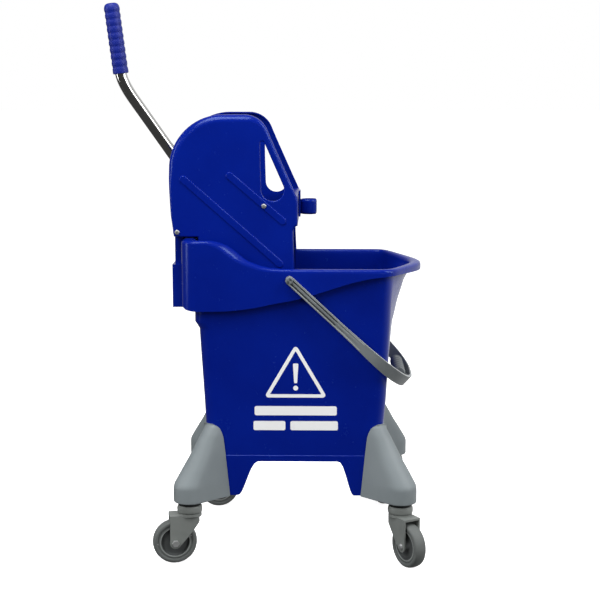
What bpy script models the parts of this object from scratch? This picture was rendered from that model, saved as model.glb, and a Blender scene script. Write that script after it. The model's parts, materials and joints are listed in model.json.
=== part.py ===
"""Mop bucket on four swivel casters with a lift-off down-press wringer. Metres, +Z up, front at +X."""
import math

import bpy
import bmesh
from mathutils import Matrix, Vector, geometry

for old in list(bpy.data.objects):
    bpy.data.objects.remove(old, do_unlink=True)

MM = 0.001
SHIFT_X = 55.5  # moves the caster-centred frame so that the bounding box is centred
GAP = 0.3

# casters
PIVOT_X, PIVOT_Y = 178.0, 155.0
WHEEL_R, TREAD, TRAIL = 37.5, 21.0, 26.0
DROP = 4.6
SWIVEL_REST = {"rear_right": 191.0, "front_right": -58.0, "rear_left": 8.0, "front_left": 122.0}
HOUSING_BOTTOM = 111.0

# bucket
WALL = 3.0
FLOOR_Z, LEG_Z, BELLY_Z = 183.0, 112.0, 172.0
RIM_HALF, COLLAR_X, RIM_ROUND = 145.5, -190.0, 3.5

# bail
BAIL_X, BAIL_Z, BAIL_REACH, BAIL_HALF, BAIL_ANGLE = -9.0, 487.0, 278.0, 149.0, -43.0
GRIP_U = 257.0

# wringer
CHEEK_Y, CHEEK_T = 100.0, 3.0
AXLE_X, AXLE_Z, AXLE_R = -146.0, 588.0, 8.0
STRAIN_R = 186.0
PLATE_REACH = 182.0
SCREWS = ((-198.8, 560.9), (-52.8, 605.2))

# lever
LEVER_DIR = (-0.5735, 0.8192)
TUBE_R, GRIP_R, GRIP_LEN = 10.0, 13.5, 120.0

# finish: base colour, roughness, metallic
FINISHES = {
    "blue_plastic": ((0.006, 0.022, 0.270, 1.0), 0.42, 0.0),
    "grey_plastic": ((0.245, 0.280, 0.290, 1.0), 0.48, 0.0),
    "fork_grey": ((0.150, 0.165, 0.160, 1.0), 0.45, 0.0),
    "tyre_rubber": ((0.125, 0.135, 0.132, 1.0), 0.62, 0.0),
    "hub_plastic": ((0.080, 0.086, 0.086, 1.0), 0.50, 0.0),
    "bail_grey": ((0.210, 0.240, 0.225, 1.0), 0.50, 0.0),
    "chrome": ((0.700, 0.700, 0.700, 1.0), 0.10, 1.0),
    "zinc": ((0.550, 0.550, 0.540, 1.0), 0.30, 1.0),
}

PARTS = bpy.data.collections.new("mop_bucket_with_wringer")
CUTTERS = bpy.data.collections.new("cutters")
CUTTERS.hide_render = True
for group in (PARTS, CUTTERS):
    bpy.context.scene.collection.children.link(group)


# ---------------------------------------------------------------- helpers; lengths in millimetres
def paint(obj, finish):
    """Gives the object a material of its own in one of the finishes."""
    colour, rough, metal = FINISHES[finish]
    mat = bpy.data.materials.new(obj.name)
    mat.use_nodes = True
    shader = mat.node_tree.nodes["Principled BSDF"]
    shader.inputs["Base Color"].default_value = colour
    shader.inputs["Roughness"].default_value = rough
    shader.inputs["Metallic"].default_value = metal
    mat.diffuse_color = colour
    obj.data.materials.append(mat)


def add(name, data, finish=None, at=(0.0, 0.0, 0.0), turn=(0.0, 0.0, 0.0)):
    """An object of its own sub-part when it has a finish, or else a helper for a Boolean."""
    obj = bpy.data.objects.new(name, data)
    obj.location = [c * MM for c in at]
    obj.rotation_euler = turn
    (PARTS if finish else CUTTERS).objects.link(obj)
    if finish:
        paint(obj, finish)
    else:
        obj.hide_render = True
        obj.display_type = "WIRE"
    return obj


def empty(name, at, parent=None, heading=0.0):
    obj = bpy.data.objects.new(name, None)
    obj.empty_display_size = 0.04
    obj.location = [c * MM for c in at]
    obj.rotation_euler = (0.0, 0.0, heading)
    obj.parent = parent
    PARTS.objects.link(obj)
    return obj


def attach(objects, pivot, at=(0.0, 0.0, 0.0)):
    """Parents objects to an empty that stands at `at` in the frame they were made in."""
    for obj in objects:
        obj.parent = pivot
        obj.location = [obj.location[k] - at[k] * MM for k in range(3)]


def as_mesh(obj):
    """Applies the modifiers, or turns a curve into a welded mesh, with the faces pointing out."""
    bpy.context.view_layer.update()
    graph = bpy.context.evaluated_depsgraph_get()
    mesh = bpy.data.meshes.new_from_object(obj.evaluated_get(graph))
    work = bmesh.new()
    work.from_mesh(mesh)
    bmesh.ops.remove_doubles(work, verts=work.verts, dist=1e-6)
    bmesh.ops.recalc_face_normals(work, faces=work.faces)
    if work.calc_volume(signed=True) < 0:
        bmesh.ops.reverse_faces(work, faces=work.faces)
    work.to_mesh(mesh)
    work.free()
    if obj.type == "MESH":
        obj.modifiers.clear()
        obj.data = mesh
        return obj
    made = bpy.data.objects.new("made", mesh)
    made.matrix_world = obj.matrix_world
    for owner in obj.users_collection:
        owner.objects.link(made)
    made.hide_render, made.display_type = obj.hide_render, obj.display_type
    name = obj.name
    bpy.data.objects.remove(obj, do_unlink=True)
    made.name = name
    return made


def combine(obj, others, operation="UNION"):
    """Boolean with each of the other solids in turn; the helpers are used up."""
    for other in others:
        modifier = obj.modifiers.new(operation.lower(), "BOOLEAN")
        modifier.operation = operation
        modifier.object = other
        graph = bpy.context.evaluated_depsgraph_get()
        result = bpy.data.meshes.new_from_object(obj.evaluated_get(graph))
        obj.modifiers.clear()
        obj.data = result
        bpy.data.objects.remove(other, do_unlink=True)
    return obj


def cut(obj, others):
    return combine(obj, others, "DIFFERENCE")


def loft(name, verts, faces, finish=None, at=(0.0, 0.0, 0.0)):
    """A skin through unlike sections, as points relative to `at`."""
    mesh = bpy.data.meshes.new(name)
    points = [[(v[k] - at[k]) * MM for k in range(3)] for v in verts]
    mesh.from_pydata(points, [], [tuple(f) for f in faces])
    obj = add(name, mesh, finish, at)
    return as_mesh(obj)


def box(name, low, high, finish=None):
    size = [(b - a) * MM for a, b in zip(low, high)]
    centre = [(a + b) / 2 for a, b in zip(low, high)]
    work = bmesh.new()
    bmesh.ops.create_cube(work, size=1.0, matrix=Matrix.Diagonal((*size, 1.0)))
    mesh = bpy.data.meshes.new(name)
    work.to_mesh(mesh)
    work.free()
    return add(name, mesh, finish, centre)


TURNS = {"X": (0.0, math.pi / 2, 0.0), "Y": (-math.pi / 2, 0.0, 0.0), "Z": (0.0, 0.0, 0.0)}


def turned(name, profile, finish=None, at=(0.0, 0.0, 0.0), axis="Z", steps=24):
    """A profile of (radius, height) turned with a Screw. `axis` is a letter or a rotation."""
    area = sum(a[0] * b[1] - b[0] * a[1] for a, b in zip(profile, profile[1:] + profile[:1]))
    points = profile[::-1] if area > 0 else profile
    edges = [(k, k + 1) for k in range(len(points) - 1)]
    if min(r for r, _ in points) > 0:
        edges.append((len(points) - 1, 0))
    mesh = bpy.data.meshes.new(name)
    mesh.from_pydata([(r * MM, 0.0, h * MM) for r, h in points], edges, [])
    obj = add(name, mesh, finish, at, TURNS[axis] if isinstance(axis, str) else axis)
    screw = obj.modifiers.new("turn", "SCREW")
    screw.axis = "Z"
    screw.steps = screw.render_steps = steps
    screw.use_merge_vertices = True
    screw.merge_threshold = 1e-5
    screw.use_smooth_shade = True
    return as_mesh(obj)


def cylinder(name, radius, low, high, finish=None, at=(0.0, 0.0, 0.0), axis="Z", steps=16):
    """A cylinder primitive between two heights along its axis."""
    work = bmesh.new()
    bmesh.ops.create_cone(work, cap_ends=True, segments=steps, radius1=radius * MM, radius2=radius * MM,
                          depth=(high - low) * MM, matrix=Matrix.Translation((0, 0, (high + low) / 2 * MM)))
    mesh = bpy.data.meshes.new(name)
    work.to_mesh(mesh)
    work.free()
    return add(name, mesh, finish, at, TURNS[axis] if isinstance(axis, str) else axis)


def plate(name, outline, y0, y1, finish=None):
    """A flat outline of (x, z) points as a filled 2D curve, extruded along y."""
    curve = bpy.data.curves.new(name, "CURVE")
    curve.dimensions = "2D"
    curve.fill_mode = "BOTH"
    curve.extrude = abs(y1 - y0) / 2 * MM
    spline = curve.splines.new("POLY")
    spline.points.add(len(outline) - 1)
    for point, (x, z) in zip(spline.points, outline):
        point.co = (x * MM, z * MM, 0.0, 1.0)
    spline.use_cyclic_u = True
    obj = add(name, curve, finish, (0.0, (y0 + y1) / 2, 0.0), (math.pi / 2, 0.0, 0.0))
    return as_mesh(obj)


def rod(name, path, radius, finish, resolution=2):
    """A round bar along a POLY curve with filled caps."""
    curve = bpy.data.curves.new(name, "CURVE")
    curve.dimensions = "3D"
    curve.bevel_depth = radius * MM
    curve.bevel_resolution = resolution
    curve.use_fill_caps = True
    spline = curve.splines.new("POLY")
    spline.points.add(len(path) - 1)
    for point, (x, y, z) in zip(spline.points, path):
        point.co = (x * MM, y * MM, z * MM, 1.0)
    return as_mesh(add(name, curve, finish))


def solidify(obj, thickness):
    wall = obj.modifiers.new("wall", "SOLIDIFY")
    wall.thickness = thickness * MM
    wall.offset = -1.0
    wall.use_even_offset = True
    return as_mesh(obj)


def grid_faces(rows, cols, base=0):
    """Quads between rows of points that close on themselves."""
    return [(base + j * cols + i, base + j * cols + (i + 1) % cols, base + (j + 1) * cols + (i + 1) % cols,
             base + (j + 1) * cols + i) for j in range(rows - 1) for i in range(cols)]


def arc(cx, cz, radius, start, end, steps):
    out = []
    for k in range(steps + 1):
        a = math.radians(start + (end - start) * k / steps)
        out.append((cx + radius * math.cos(a), cz + radius * math.sin(a)))
    return out


def lerp_table(table, x):
    if x <= table[0][0]:
        return table[0][1]
    for (x0, y0), (x1, y1) in zip(table, table[1:]):
        if x <= x1:
            return y0 + (y1 - y0) * (x - x0) / (x1 - x0)
    return table[-1][1]


def smooth(x, low, high):
    t = min(max((x - low) / (high - low), 0.0), 1.0)
    return t * t * (3 - 2 * t)


# ---------------------------------------------------------------- bucket
REAR_X = [(112, -149.5), (183, -151.5), (223, -152.6), (276, -155), (362, -160), (400, -162),
          (412, -169.5), (560, -169.5)]
FRONT_CORNER_X = [(112, 146.5), (183, 148.5), (225, 150), (276, 154), (316, 156), (416, 160.7), (441, 161.6),
                  (487, 165), (510, 166)]
FRONT_MID_X = [(112, 148), (183, 150.5), (225, 152.5), (276, 157), (329, 161.5), (365, 164.8), (400, 168.4),
               (413, 172), (435, 177), (455, 183.5), (469, 187.6), (481, 194), (490, 199), (510, 201)]
HALF_Y = [(112, 125), (183, 126.5), (400, 131.5), (510, 133.5)]
REAR_F, CORNER_DEG = (0.0, 0.3, 0.62, 0.82), (0, 20, 45, 70)
FRONT_T, FRONT_F = (0.25, 0.5, 0.75), (1.0, 0.86, 0.68, 0.5, 0.34, 0.2, 0.09)
SIDE = [0, .03, .06, .085, .11, .14, .17, .21, .25, .3, .35, .41, .5, .6, .7, .79, .83, .87, .895, .92, .95, 1]
SKIRT_LOW = [(-182, 435), (-167, 433), (-110, 434), (-70, 439), (-36, 446), (-2, 452.5), (36, 463), (67, 473),
             (95, 481.5), (129, 489), (155, 492)]
RIM_TOP = [(-148, 551), (-130, 544.5), (-115, 534), (-98, 522), (-77, 513), (-57, 507.5), (-39, 505), (0, 504)]
NOSE = 40.0


def nose(y, mid, corner, reach):
    """Front wall x at y: a blunt V between the middle and the corners."""
    f = (math.hypot(y, NOSE) - NOSE) / (math.hypot(reach, NOSE) - NOSE)
    return mid + (corner - mid) * f


def half_plan(xr, rr, w, mid, corner, rf):
    """Columns from the middle of the rear to the middle of the front, on the right (-Y) side."""
    pts = [(xr, -(w - rr) * t) for t in REAR_F]
    pts += [(xr + rr - rr * math.cos(a), -(w - rr) - rr * math.sin(a))
            for a in (math.radians(v) for v in CORNER_DEG)]
    reach = w - rf
    x_end = nose(reach, mid, corner, reach)
    xs = x_end - rf * 1.1
    pts += [(xr + rr + (xs - xr - rr) * f, -w) for f in SIDE]
    slope = (nose(reach - 2, mid, corner, reach) - x_end) / 2
    p0, p3 = Vector((xs, -w)), Vector((x_end, -reach))
    k = 0.62 * rf
    p1, p2 = p0 + Vector((k, 0)), p3 - Vector((slope, 1)).normalized() * k
    for t in FRONT_T:
        u = 1 - t
        q = p0 * u ** 3 + p1 * 3 * u * u * t + p2 * 3 * u * t * t + p3 * t ** 3
        pts.append((q.x, q.y))
    pts += [(nose(reach * f, mid, corner, reach), -reach * f) for f in FRONT_F]
    pts.append((mid, 0.0))
    return pts


def full_plan(half):
    return half + [(x, -y) for x, y in reversed(half[1:-1])]


def body_plan(z, grow=0.0):
    rr = 24.0
    plan = half_plan(lerp_table(REAR_X, z) - grow, rr + grow, lerp_table(HALF_Y, z) + grow,
                     lerp_table(FRONT_MID_X, z) + grow, lerp_table(FRONT_CORNER_X, z) + grow, 22.0 + grow)
    return full_plan(plan)


def skirt_plan(shrink=0.0):
    return full_plan(half_plan(COLLAR_X + shrink, 27.0 - shrink, RIM_HALF - shrink, 217.0 - shrink,
                               177.0 - shrink, 34.0 - shrink))


def leg_low(x, y, plan_x):
    """Lower edge of the wall: four legs with an arch between them."""
    if abs(y) > 120 and abs(x) < 130:
        inner = (-95.0, -74.0, -98.0) if x < 0 else (97.0, 85.0, 114.0)
        t = smooth(abs(x), abs(inner[1]) - 14, abs(inner[0]) + 3)
    else:
        t = smooth(abs(y), 66.0, 90.0)
    return BELLY_Z + (LEG_Z - BELLY_Z) * t ** 1.3


def rim_top(x, y):
    if x > 60:
        return 504.0 - 2.0 * smooth(x, 150, 215)
    return lerp_table(RIM_TOP, x)


def skirt_low(x, y):
    if x < -181:
        return 436.0 + 5.0 * smooth(-x, 181, 190)
    if x > 155:
        return 492.0 - 4.0 * smooth(x, 165, 216)
    return lerp_table(SKIRT_LOW, x)


def bucket_surface(levels, rim_steps, skirt_rows):
    """Gap-side sheet of the bucket as rows of columns, from the leg edge up, under the rim and down the skirt."""
    outer, inner_top = skirt_plan(WALL), body_plan(500)
    tops = [rim_top(x, y) - WALL for x, y in outer]
    rows = []
    base = body_plan(LEG_Z)
    lows = [leg_low(x, y, x) for x, y in base]
    for f in (0.0, 0.5, 1.0):
        row = []
        for i, (x, y) in enumerate(base):
            z = lows[i] + (FLOOR_Z - lows[i]) * f
            px, py = body_plan_cached(z)[i]
            row.append((px, py, z))
        rows.append(row)
    for level in levels:
        plan = body_plan(level)
        rows.append([(x, y, level) for x, y in plan])
    base_z = levels[-1]
    for f in (0.4, 0.8):
        row = []
        for i in range(len(outer)):
            z = base_z + (tops[i] - 5.0 - base_z) * f
            px, py = body_plan_cached(min(z, 500))[i]
            row.append((px, py, z))
        rows.append(row)
    for k in range(rim_steps + 1):
        a = math.pi * k / rim_steps
        row = []
        for i, (x, y) in enumerate(outer):
            xi, yi = inner_top[i]
            f = (1 - math.cos(a)) / 2
            row.append((xi + (x - xi) * f, yi + (y - yi) * f, tops[i] - RIM_ROUND + RIM_ROUND * math.sin(a) ** 0.6))
        rows.append(row)
    for f in skirt_rows:
        row = []
        for i, (x, y) in enumerate(outer):
            z = tops[i] - RIM_ROUND
            row.append((x, y, z + (skirt_low(x, y) - z) * f))
        rows.append(row)
    return rows


_plans = {}


def body_plan_cached(z):
    key = round(z, 1)
    if key not in _plans:
        _plans[key] = body_plan(key)
    return _plans[key]


def bucket_shell():
    rows = bucket_surface((225, 365, 400, 412, 440, 470), 3, (0.5, 1.0))
    cols = len(rows[0])
    shell = loft("bucket_shell", [p for row in rows for p in row], grid_faces(len(rows), cols), "blue_plastic")
    solidify(shell, WALL)
    low, high = body_plan(FLOOR_Z - 4.5, -1.2), body_plan(FLOOR_Z, -1.2)
    n = len(low)
    verts = [(x, y, FLOOR_Z - 4.5) for x, y in low] + [(x, y, FLOOR_Z) for x, y in high]
    floor = loft("floor", verts, [tuple(range(n - 1, -1, -1)), tuple(range(n, 2 * n))] + grid_faces(2, n))
    return combine(shell, [floor])


def wall_block(name, z0, z1, grow):
    """The filled body of the bucket between two heights, a little larger than its wall."""
    zs = sorted({z0, z1} | {z for z, _ in HALF_Y + REAR_X if z0 < z < z1})
    plans = [body_plan(max(z, 112), grow) for z in zs]
    n = len(plans[0])
    last = (len(zs) - 1) * n
    faces = [tuple(range(n - 1, -1, -1)), tuple(range(last, last + n))] + grid_faces(len(zs), n)
    return loft(name, [(x, y, z) for z, plan in zip(zs, plans) for x, y in plan], faces)


def hull(points):
    pts = sorted(set((round(x, 4), round(y, 4)) for x, y in points))

    def half(seq):
        out = []
        for p in seq:
            while len(out) > 1 and ((out[-1][0] - out[-2][0]) * (p[1] - out[-2][1])
                                    - (out[-1][1] - out[-2][1]) * (p[0] - out[-2][0])) <= 0:
                out.pop()
            out.append(p)
        return out
    a, b = half(pts), half(pts[::-1])
    return a[:-1] + b[:-1]


def ray(border, centre, angle):
    """Where a ray from a centre inside a convex loop leaves it."""
    dx, dy = math.cos(angle), math.sin(angle)
    best = 0.0
    for (x0, y0), (x1, y1) in zip(border, border[1:] + border[:1]):
        ex, ey = x1 - x0, y1 - y0
        det = dx * ey - dy * ex
        if abs(det) > 1e-12:
            t = ((x0 - centre[0]) * ey - (y0 - centre[1]) * ex) / det
            s = ((x0 - centre[0]) * dy - (y0 - centre[1]) * dx) / det
            if -1e-9 <= s <= 1 + 1e-9:
                best = max(best, t)
    return (centre[0] + dx * best, centre[1] + dy * best)


def housing_sections(steps):
    """Plan loops of a corner housing, for the corner at +X, +Y, as lists of equal length."""
    sections = []
    for z, shift, radius, round_in in ((111, 0.0, 26.0, 0.0), (112.5, 0.0, 27.0, 0.0), (136, 0.0, 27.0, 0.0),
                                       (143, 0.035, 26.4, 0.0), (182, 0.455, 22.0, 0.0), (215, 0.78, 18.5, 0.5),
                                       (230, 0.925, 16.0, 5.0), (235, 0.965, 14.0, 12.0), (237, 0.975, 11.0, 17.0)):
        cx = PIVOT_X - 43.0 * shift
        cy = PIVOT_Y - 39.0 * shift
        wall_y = lerp_table(HALF_Y, z)
        wall_x = -lerp_table(REAR_X, z)
        edge = 111.5 + 10.5 * (z - 112) / 108.0 + round_in
        side = 95.0 + 10.5 * (z - 112) / 108.0 + round_in * 0.6
        first, last = (wall_x + 2.6, side), (edge, wall_y + 2.6)
        centre = (wall_x - 9.0, wall_y - 9.0)
        round_nose = [(cx + radius * math.cos(v), cy + radius * math.sin(v)) for v in
                      (2 * math.pi * k / 48 for k in range(48))]
        border = hull(round_nose + [first, last, centre])
        start = math.atan2(first[1] - centre[1], first[0] - centre[0])
        end = math.atan2(last[1] - centre[1], last[0] - centre[0])
        loop = [first]
        loop += [ray(border, centre, start + (end - start) * k / steps) for k in range(1, steps)]
        loop += [last, (edge, wall_y - 12), (wall_x - 12, wall_y - 12), (wall_x - 12, side)]
        sections.append((z, loop))
    return sections


def corner_housing(name, sx, sy):
    sections = housing_sections(16)
    n = len(sections[0][1])
    verts = [(sx * x, sy * y, z) for z, loop in sections for x, y in loop]
    last = (len(sections) - 1) * n
    faces = [tuple(range(n)), tuple(range(last + n - 1, last - 1, -1))] + grid_faces(len(sections), n)
    solid = loft(name, verts, faces, "grey_plastic")
    return cut(solid, [wall_block("wall_cut", 60, 300, GAP)])


# ---------------------------------------------------------------- casters
def collar(corner, sx, sy):
    profile = [(0, 92.3), (20.2, 92.3), (21.2, 95), (21.4, 99), (20.6, 103.5), (18.2, 105.2), (17.6, 107),
               (17.6, 110.7), (0, 110.7)]
    return turned("collar_" + corner, profile, "fork_grey", (sx * PIVOT_X, sy * PIVOT_Y, 0), steps=20)


def caster(corner):
    """Fork and wheel in the caster's own frame: swivel axis at the origin, wheel trailing along +X."""
    wheel = (TRAIL, 0, WHEEL_R)
    outline = [(-19.8, 84.9), (-19.8, 80), (-6.0, 61), (4.6, 47.5), (16.2, 34.4)]
    outline += arc(TRAIL, WHEEL_R, 9.6, 205, 355, 5)[1:] + [(35.0, 41), (35.0, 84.9)]
    fork = plate("fork_" + corner, outline, -16.0, 16.0, "fork_grey")
    combine(fork, [turned("cap", [(0, 82.4), (20.0, 82.4), (20.0, 86.0), (19.0, 87.3), (0, 87.3)], steps=20)])
    outside = cut(box("outside", (-40, -30, 10), (0, 30, 100)), [cylinder("back", 20.2, 0, 110, steps=20)])
    cut(fork, [outside, box("channel", (-40, -13.4, 20), (50, 13.4, 81.4)),
               cylinder("bore", 4.0, -20, 20, at=wheel, axis="Y")])
    hub = [(4.0, -12.4), (8.0, -12.4), (8.6, -4.5), (22.8, -3.4), (23.6, -8.6), (28.8, -9.2), (28.8, 9.2),
           (23.6, 8.6), (22.8, 3.4), (8.6, 4.5), (8.0, 12.4), (4.0, 12.4)]
    tyre = [(29.1, -9.4), (33.0, -10.5), (35.6, -9.2), (37.1, -6.0), (WHEEL_R, 0), (37.1, 6.0), (35.6, 9.2),
            (33.0, 10.5), (29.1, 9.4)]
    bolt = [(0, -18.6), (3.6, -18.6), (5.2, -17.6), (5.2, -16.3), (3.6, -16.3), (3.6, 16.2), (0, 16.2)]
    fixed = [fork, turned("axle_bolt_" + corner, bolt, "zinc", wheel, "Y", 12),
             cylinder("axle_nut_" + corner, 6.2, 16.5, 19.8, "zinc", wheel, "Y", 6)]
    rolling = [turned("wheel_hub_" + corner, hub, "hub_plastic", wheel, "Y", 18),
               turned("wheel_tyre_" + corner, tyre, "tyre_rubber", wheel, "Y", 28)]
    return fixed, rolling, wheel


# ---------------------------------------------------------------- bail
def bail_frame_axes():
    a = math.radians(BAIL_ANGLE)
    return Vector((math.cos(a), 0, math.sin(a))), Vector((-math.sin(a), 0, math.cos(a)))


def bail_point(u, y, n):
    du, dn = bail_frame_axes()
    p = Vector((BAIL_X, y, BAIL_Z)) + du * u + dn * n
    return (p.x, p.y, p.z)


def bail_path(arm_steps, end_steps):
    """Half path (u, y), from the eye at -Y to the middle of the crossbar."""
    straight = 165.0
    pts = [(straight * k / arm_steps, -BAIL_HALF) for k in range(arm_steps)]
    for k in range(end_steps + 1):
        a = 0.5 * math.pi * k / end_steps
        u = straight + (BAIL_REACH - straight) * math.sin(a) ** (2 / 2.6)
        pts.append((u, -BAIL_HALF * math.cos(a) ** (2 / 2.6)))
    return pts


def bail_frame():
    """Ribbed strap bent to a U, wider at the crossbar, with an eye at each end."""
    half = bail_path(6, 12)
    path = half + [(u, -y) for u, y in reversed(half[:-1])]
    section = [(-2.5, -1.0), (-2.5, 1.0), (2.5, 1.0), (2.5, 0.62), (1.3, 0.5), (1.3, 0.32), (2.5, 0.2),
               (2.5, -0.2), (1.3, -0.32), (1.3, -0.5), (2.5, -0.62), (2.5, -1.0)]
    verts = []
    n = len(path)
    for i, (u, y) in enumerate(path):
        a, b = path[max(i - 1, 0)], path[min(i + 1, n - 1)]
        tangent = Vector((b[0] - a[0], b[1] - a[1])).normalized()
        out = Vector((tangent.y, -tangent.x))
        half_width = 7.0 + 3.5 * smooth(u, 110, 250)
        for t, w in section:
            verts.append(bail_point(u + out.x * t, y + out.y * t, w * half_width))
    m = len(section)
    faces = grid_faces(n, m) + [tuple(range(m - 1, -1, -1)), tuple(range((n - 1) * m, n * m))]
    frame = loft("bail_frame", verts, faces, "bail_grey")
    pivot = (BAIL_X, 0, BAIL_Z)
    combine(frame, [cylinder("eye", 7.0, min(y), max(y), at=pivot, axis="Y", steps=20)
                    for y in ((146.5, 151.5), (-151.5, -146.5))])
    return cut(frame, [cylinder("hole", 4.3, min(y), max(y), at=pivot, axis="Y")
                       for y in ((140, 158), (-158, -140))])


def bail_grip():
    """Ribbed finger grip inside the crossbar, joined to it by webs."""
    ribs = [(11.0 if k % 2 else 9.8, -54.0 + 9.0 * k) for k in range(13)]
    profile = [(0, -56.0)] + ribs + [(0, 56.0)]
    grip = turned("bail_grip", profile, "bail_grey", bail_point(GRIP_U, 0, 0), "Y", 14)
    webs = []
    for y, reach in ((-50, 272.3), (-25, 274.6), (0, 275.2), (25, 274.6), (50, 272.3)):
        corners = [bail_point(u, 0, w) for u, w in ((GRIP_U, -3.5), (reach, -3.5), (reach, 3.5), (GRIP_U, 3.5))]
        webs.append(plate("web", [(x, z) for x, _, z in corners], y - 2, y + 2))
    return combine(grip, webs)


def bail_stud(side, s):
    profile = [(0, s * 145.9), (3.9, s * 145.9), (3.9, s * 151.9), (6.0, s * 151.9), (5.0, s * 153.6), (0, s * 153.6)]
    return turned("bail_stud_" + side, profile, "grey_plastic", (BAIL_X, 0, BAIL_Z), "Y", 16)


# ---------------------------------------------------------------- wringer
def cheek_outline(step):
    """Outline (x, z, edge radius) from the lower rear corner up over the top and down the front."""
    pts = [(-163.5, 553.0, 2.5), (-176, 553.0, 2.5), (-190, 553.0, 2.5), (-201, 553.2, 2.5), (-205.3, 556, 3.5),
           (-206.2, 563, 4.5), (-209.6, 588, 5), (-211.8, 629, 6), (-212.6, 650, 9)]
    pts += [(x, z, 13.0) for x, z in arc(-121, 665.5, 91.5, 180, 90, 2 * step)]
    pts += [(-100, 757.0, 13.0)]
    pts += [(x, z, 13.0 - 7.0 * k / step) for k, (x, z) in enumerate(arc(-85, 715.5, 41.5, 90, 26, step))]
    pts += [(-34.0, 701.5, 6), (-20, 670, 6), (-8, 643, 5.5)]
    pts += [(x, z, 4.5) for x, z in ((0.0, 625.5), (3.4, 616), (4.0, 608), (4.0, 592), (4.0, 579))]
    pts += [(x, z, 4.0) for x, z in ((2.8, 573), (-0.8, 569.2), (-3.4, 565), (-3.9, 558), (-3.0, 530), (-1.5, 497),
                                     (-1.4, 470))]
    pts += [(x, z, 3.5) for x, z in arc(AXLE_X, AXLE_Z, 198.0, -43.5, -91.5, 2 * step)]
    pts += [(x, z, 2.5) for x, z in ((-155, 393), (-155.5, 398), (-155.5, 424), (-163.5, 440), (-163.5, 480),
                                     (-163.5, 545))]
    return pts


def drop_loop(grow, step):
    """Tear-drop hand hole, clockwise."""
    r = 19.2 + grow
    pts = arc(-38.3, 632.5, r, 15, -180, 2 * step)
    pts += [(-58.6 - grow, 675), (-59.0 - grow, 706)]
    pts += arc(-55.2, 709.5, 3.6 + grow, 170, 27, 3)
    return pts


def capsule(x0, z0, x1, z1, r, step):
    a = math.degrees(math.atan2(z1 - z0, x1 - x0))
    return arc(x1, z1, r, a - 90, a + 90, step) + arc(x0, z0, r, a + 90, a + 270, step)


def inside(loop, x, z):
    found = False
    for (x0, z0), (x1, z1) in zip(loop, loop[1:] + loop[:1]):
        if (z0 > z) != (z1 > z) and x < (x1 - x0) * (z - z0) / (z1 - z0) + x0:
            found = not found
    return found


def filled(loops, keep):
    """Triangles of the plane area whose centres pass `keep`, with every loop as an edge line."""
    coords, edges = [], []
    for loop in loops:
        start = len(coords)
        coords += [Vector(p) for p in loop]
        edges += [(start + i, start + (i + 1) % len(loop)) for i in range(len(loop))]
    verts, _, tris, *_ = geometry.delaunay_2d_cdt(coords, edges, [], 0, 1e-6)
    order = {}
    for k, v in enumerate(verts):
        order[k] = min(range(len(coords)), key=lambda i: (coords[i] - v).length_squared)
    out = []
    for tri in tris:
        c = sum((verts[k] for k in tri), Vector((0, 0))) / 3
        if keep(c.x, c.y):
            out.append([order[k] for k in tri])
    return out


def inset(outline, distances):
    """Each point moved inwards along the mean normal by its own distance (outline runs clockwise in x, z)."""
    n, out = len(outline), []
    for i in range(n):
        a, p, b = outline[i - 1], outline[i], outline[(i + 1) % n]
        e1 = Vector((p[0] - a[0], p[1] - a[1])).normalized()
        e2 = Vector((b[0] - p[0], b[1] - p[1])).normalized()
        normal = Vector((e1.y, -e1.x)) + Vector((e2.y, -e2.x))
        normal.normalize()
        scale = 1 / max(normal.dot(Vector((e1.y, -e1.x))), 0.5)
        out.append((p[0] + normal.x * distances[i] * scale, p[1] + normal.y * distances[i] * scale))
    return out


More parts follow.
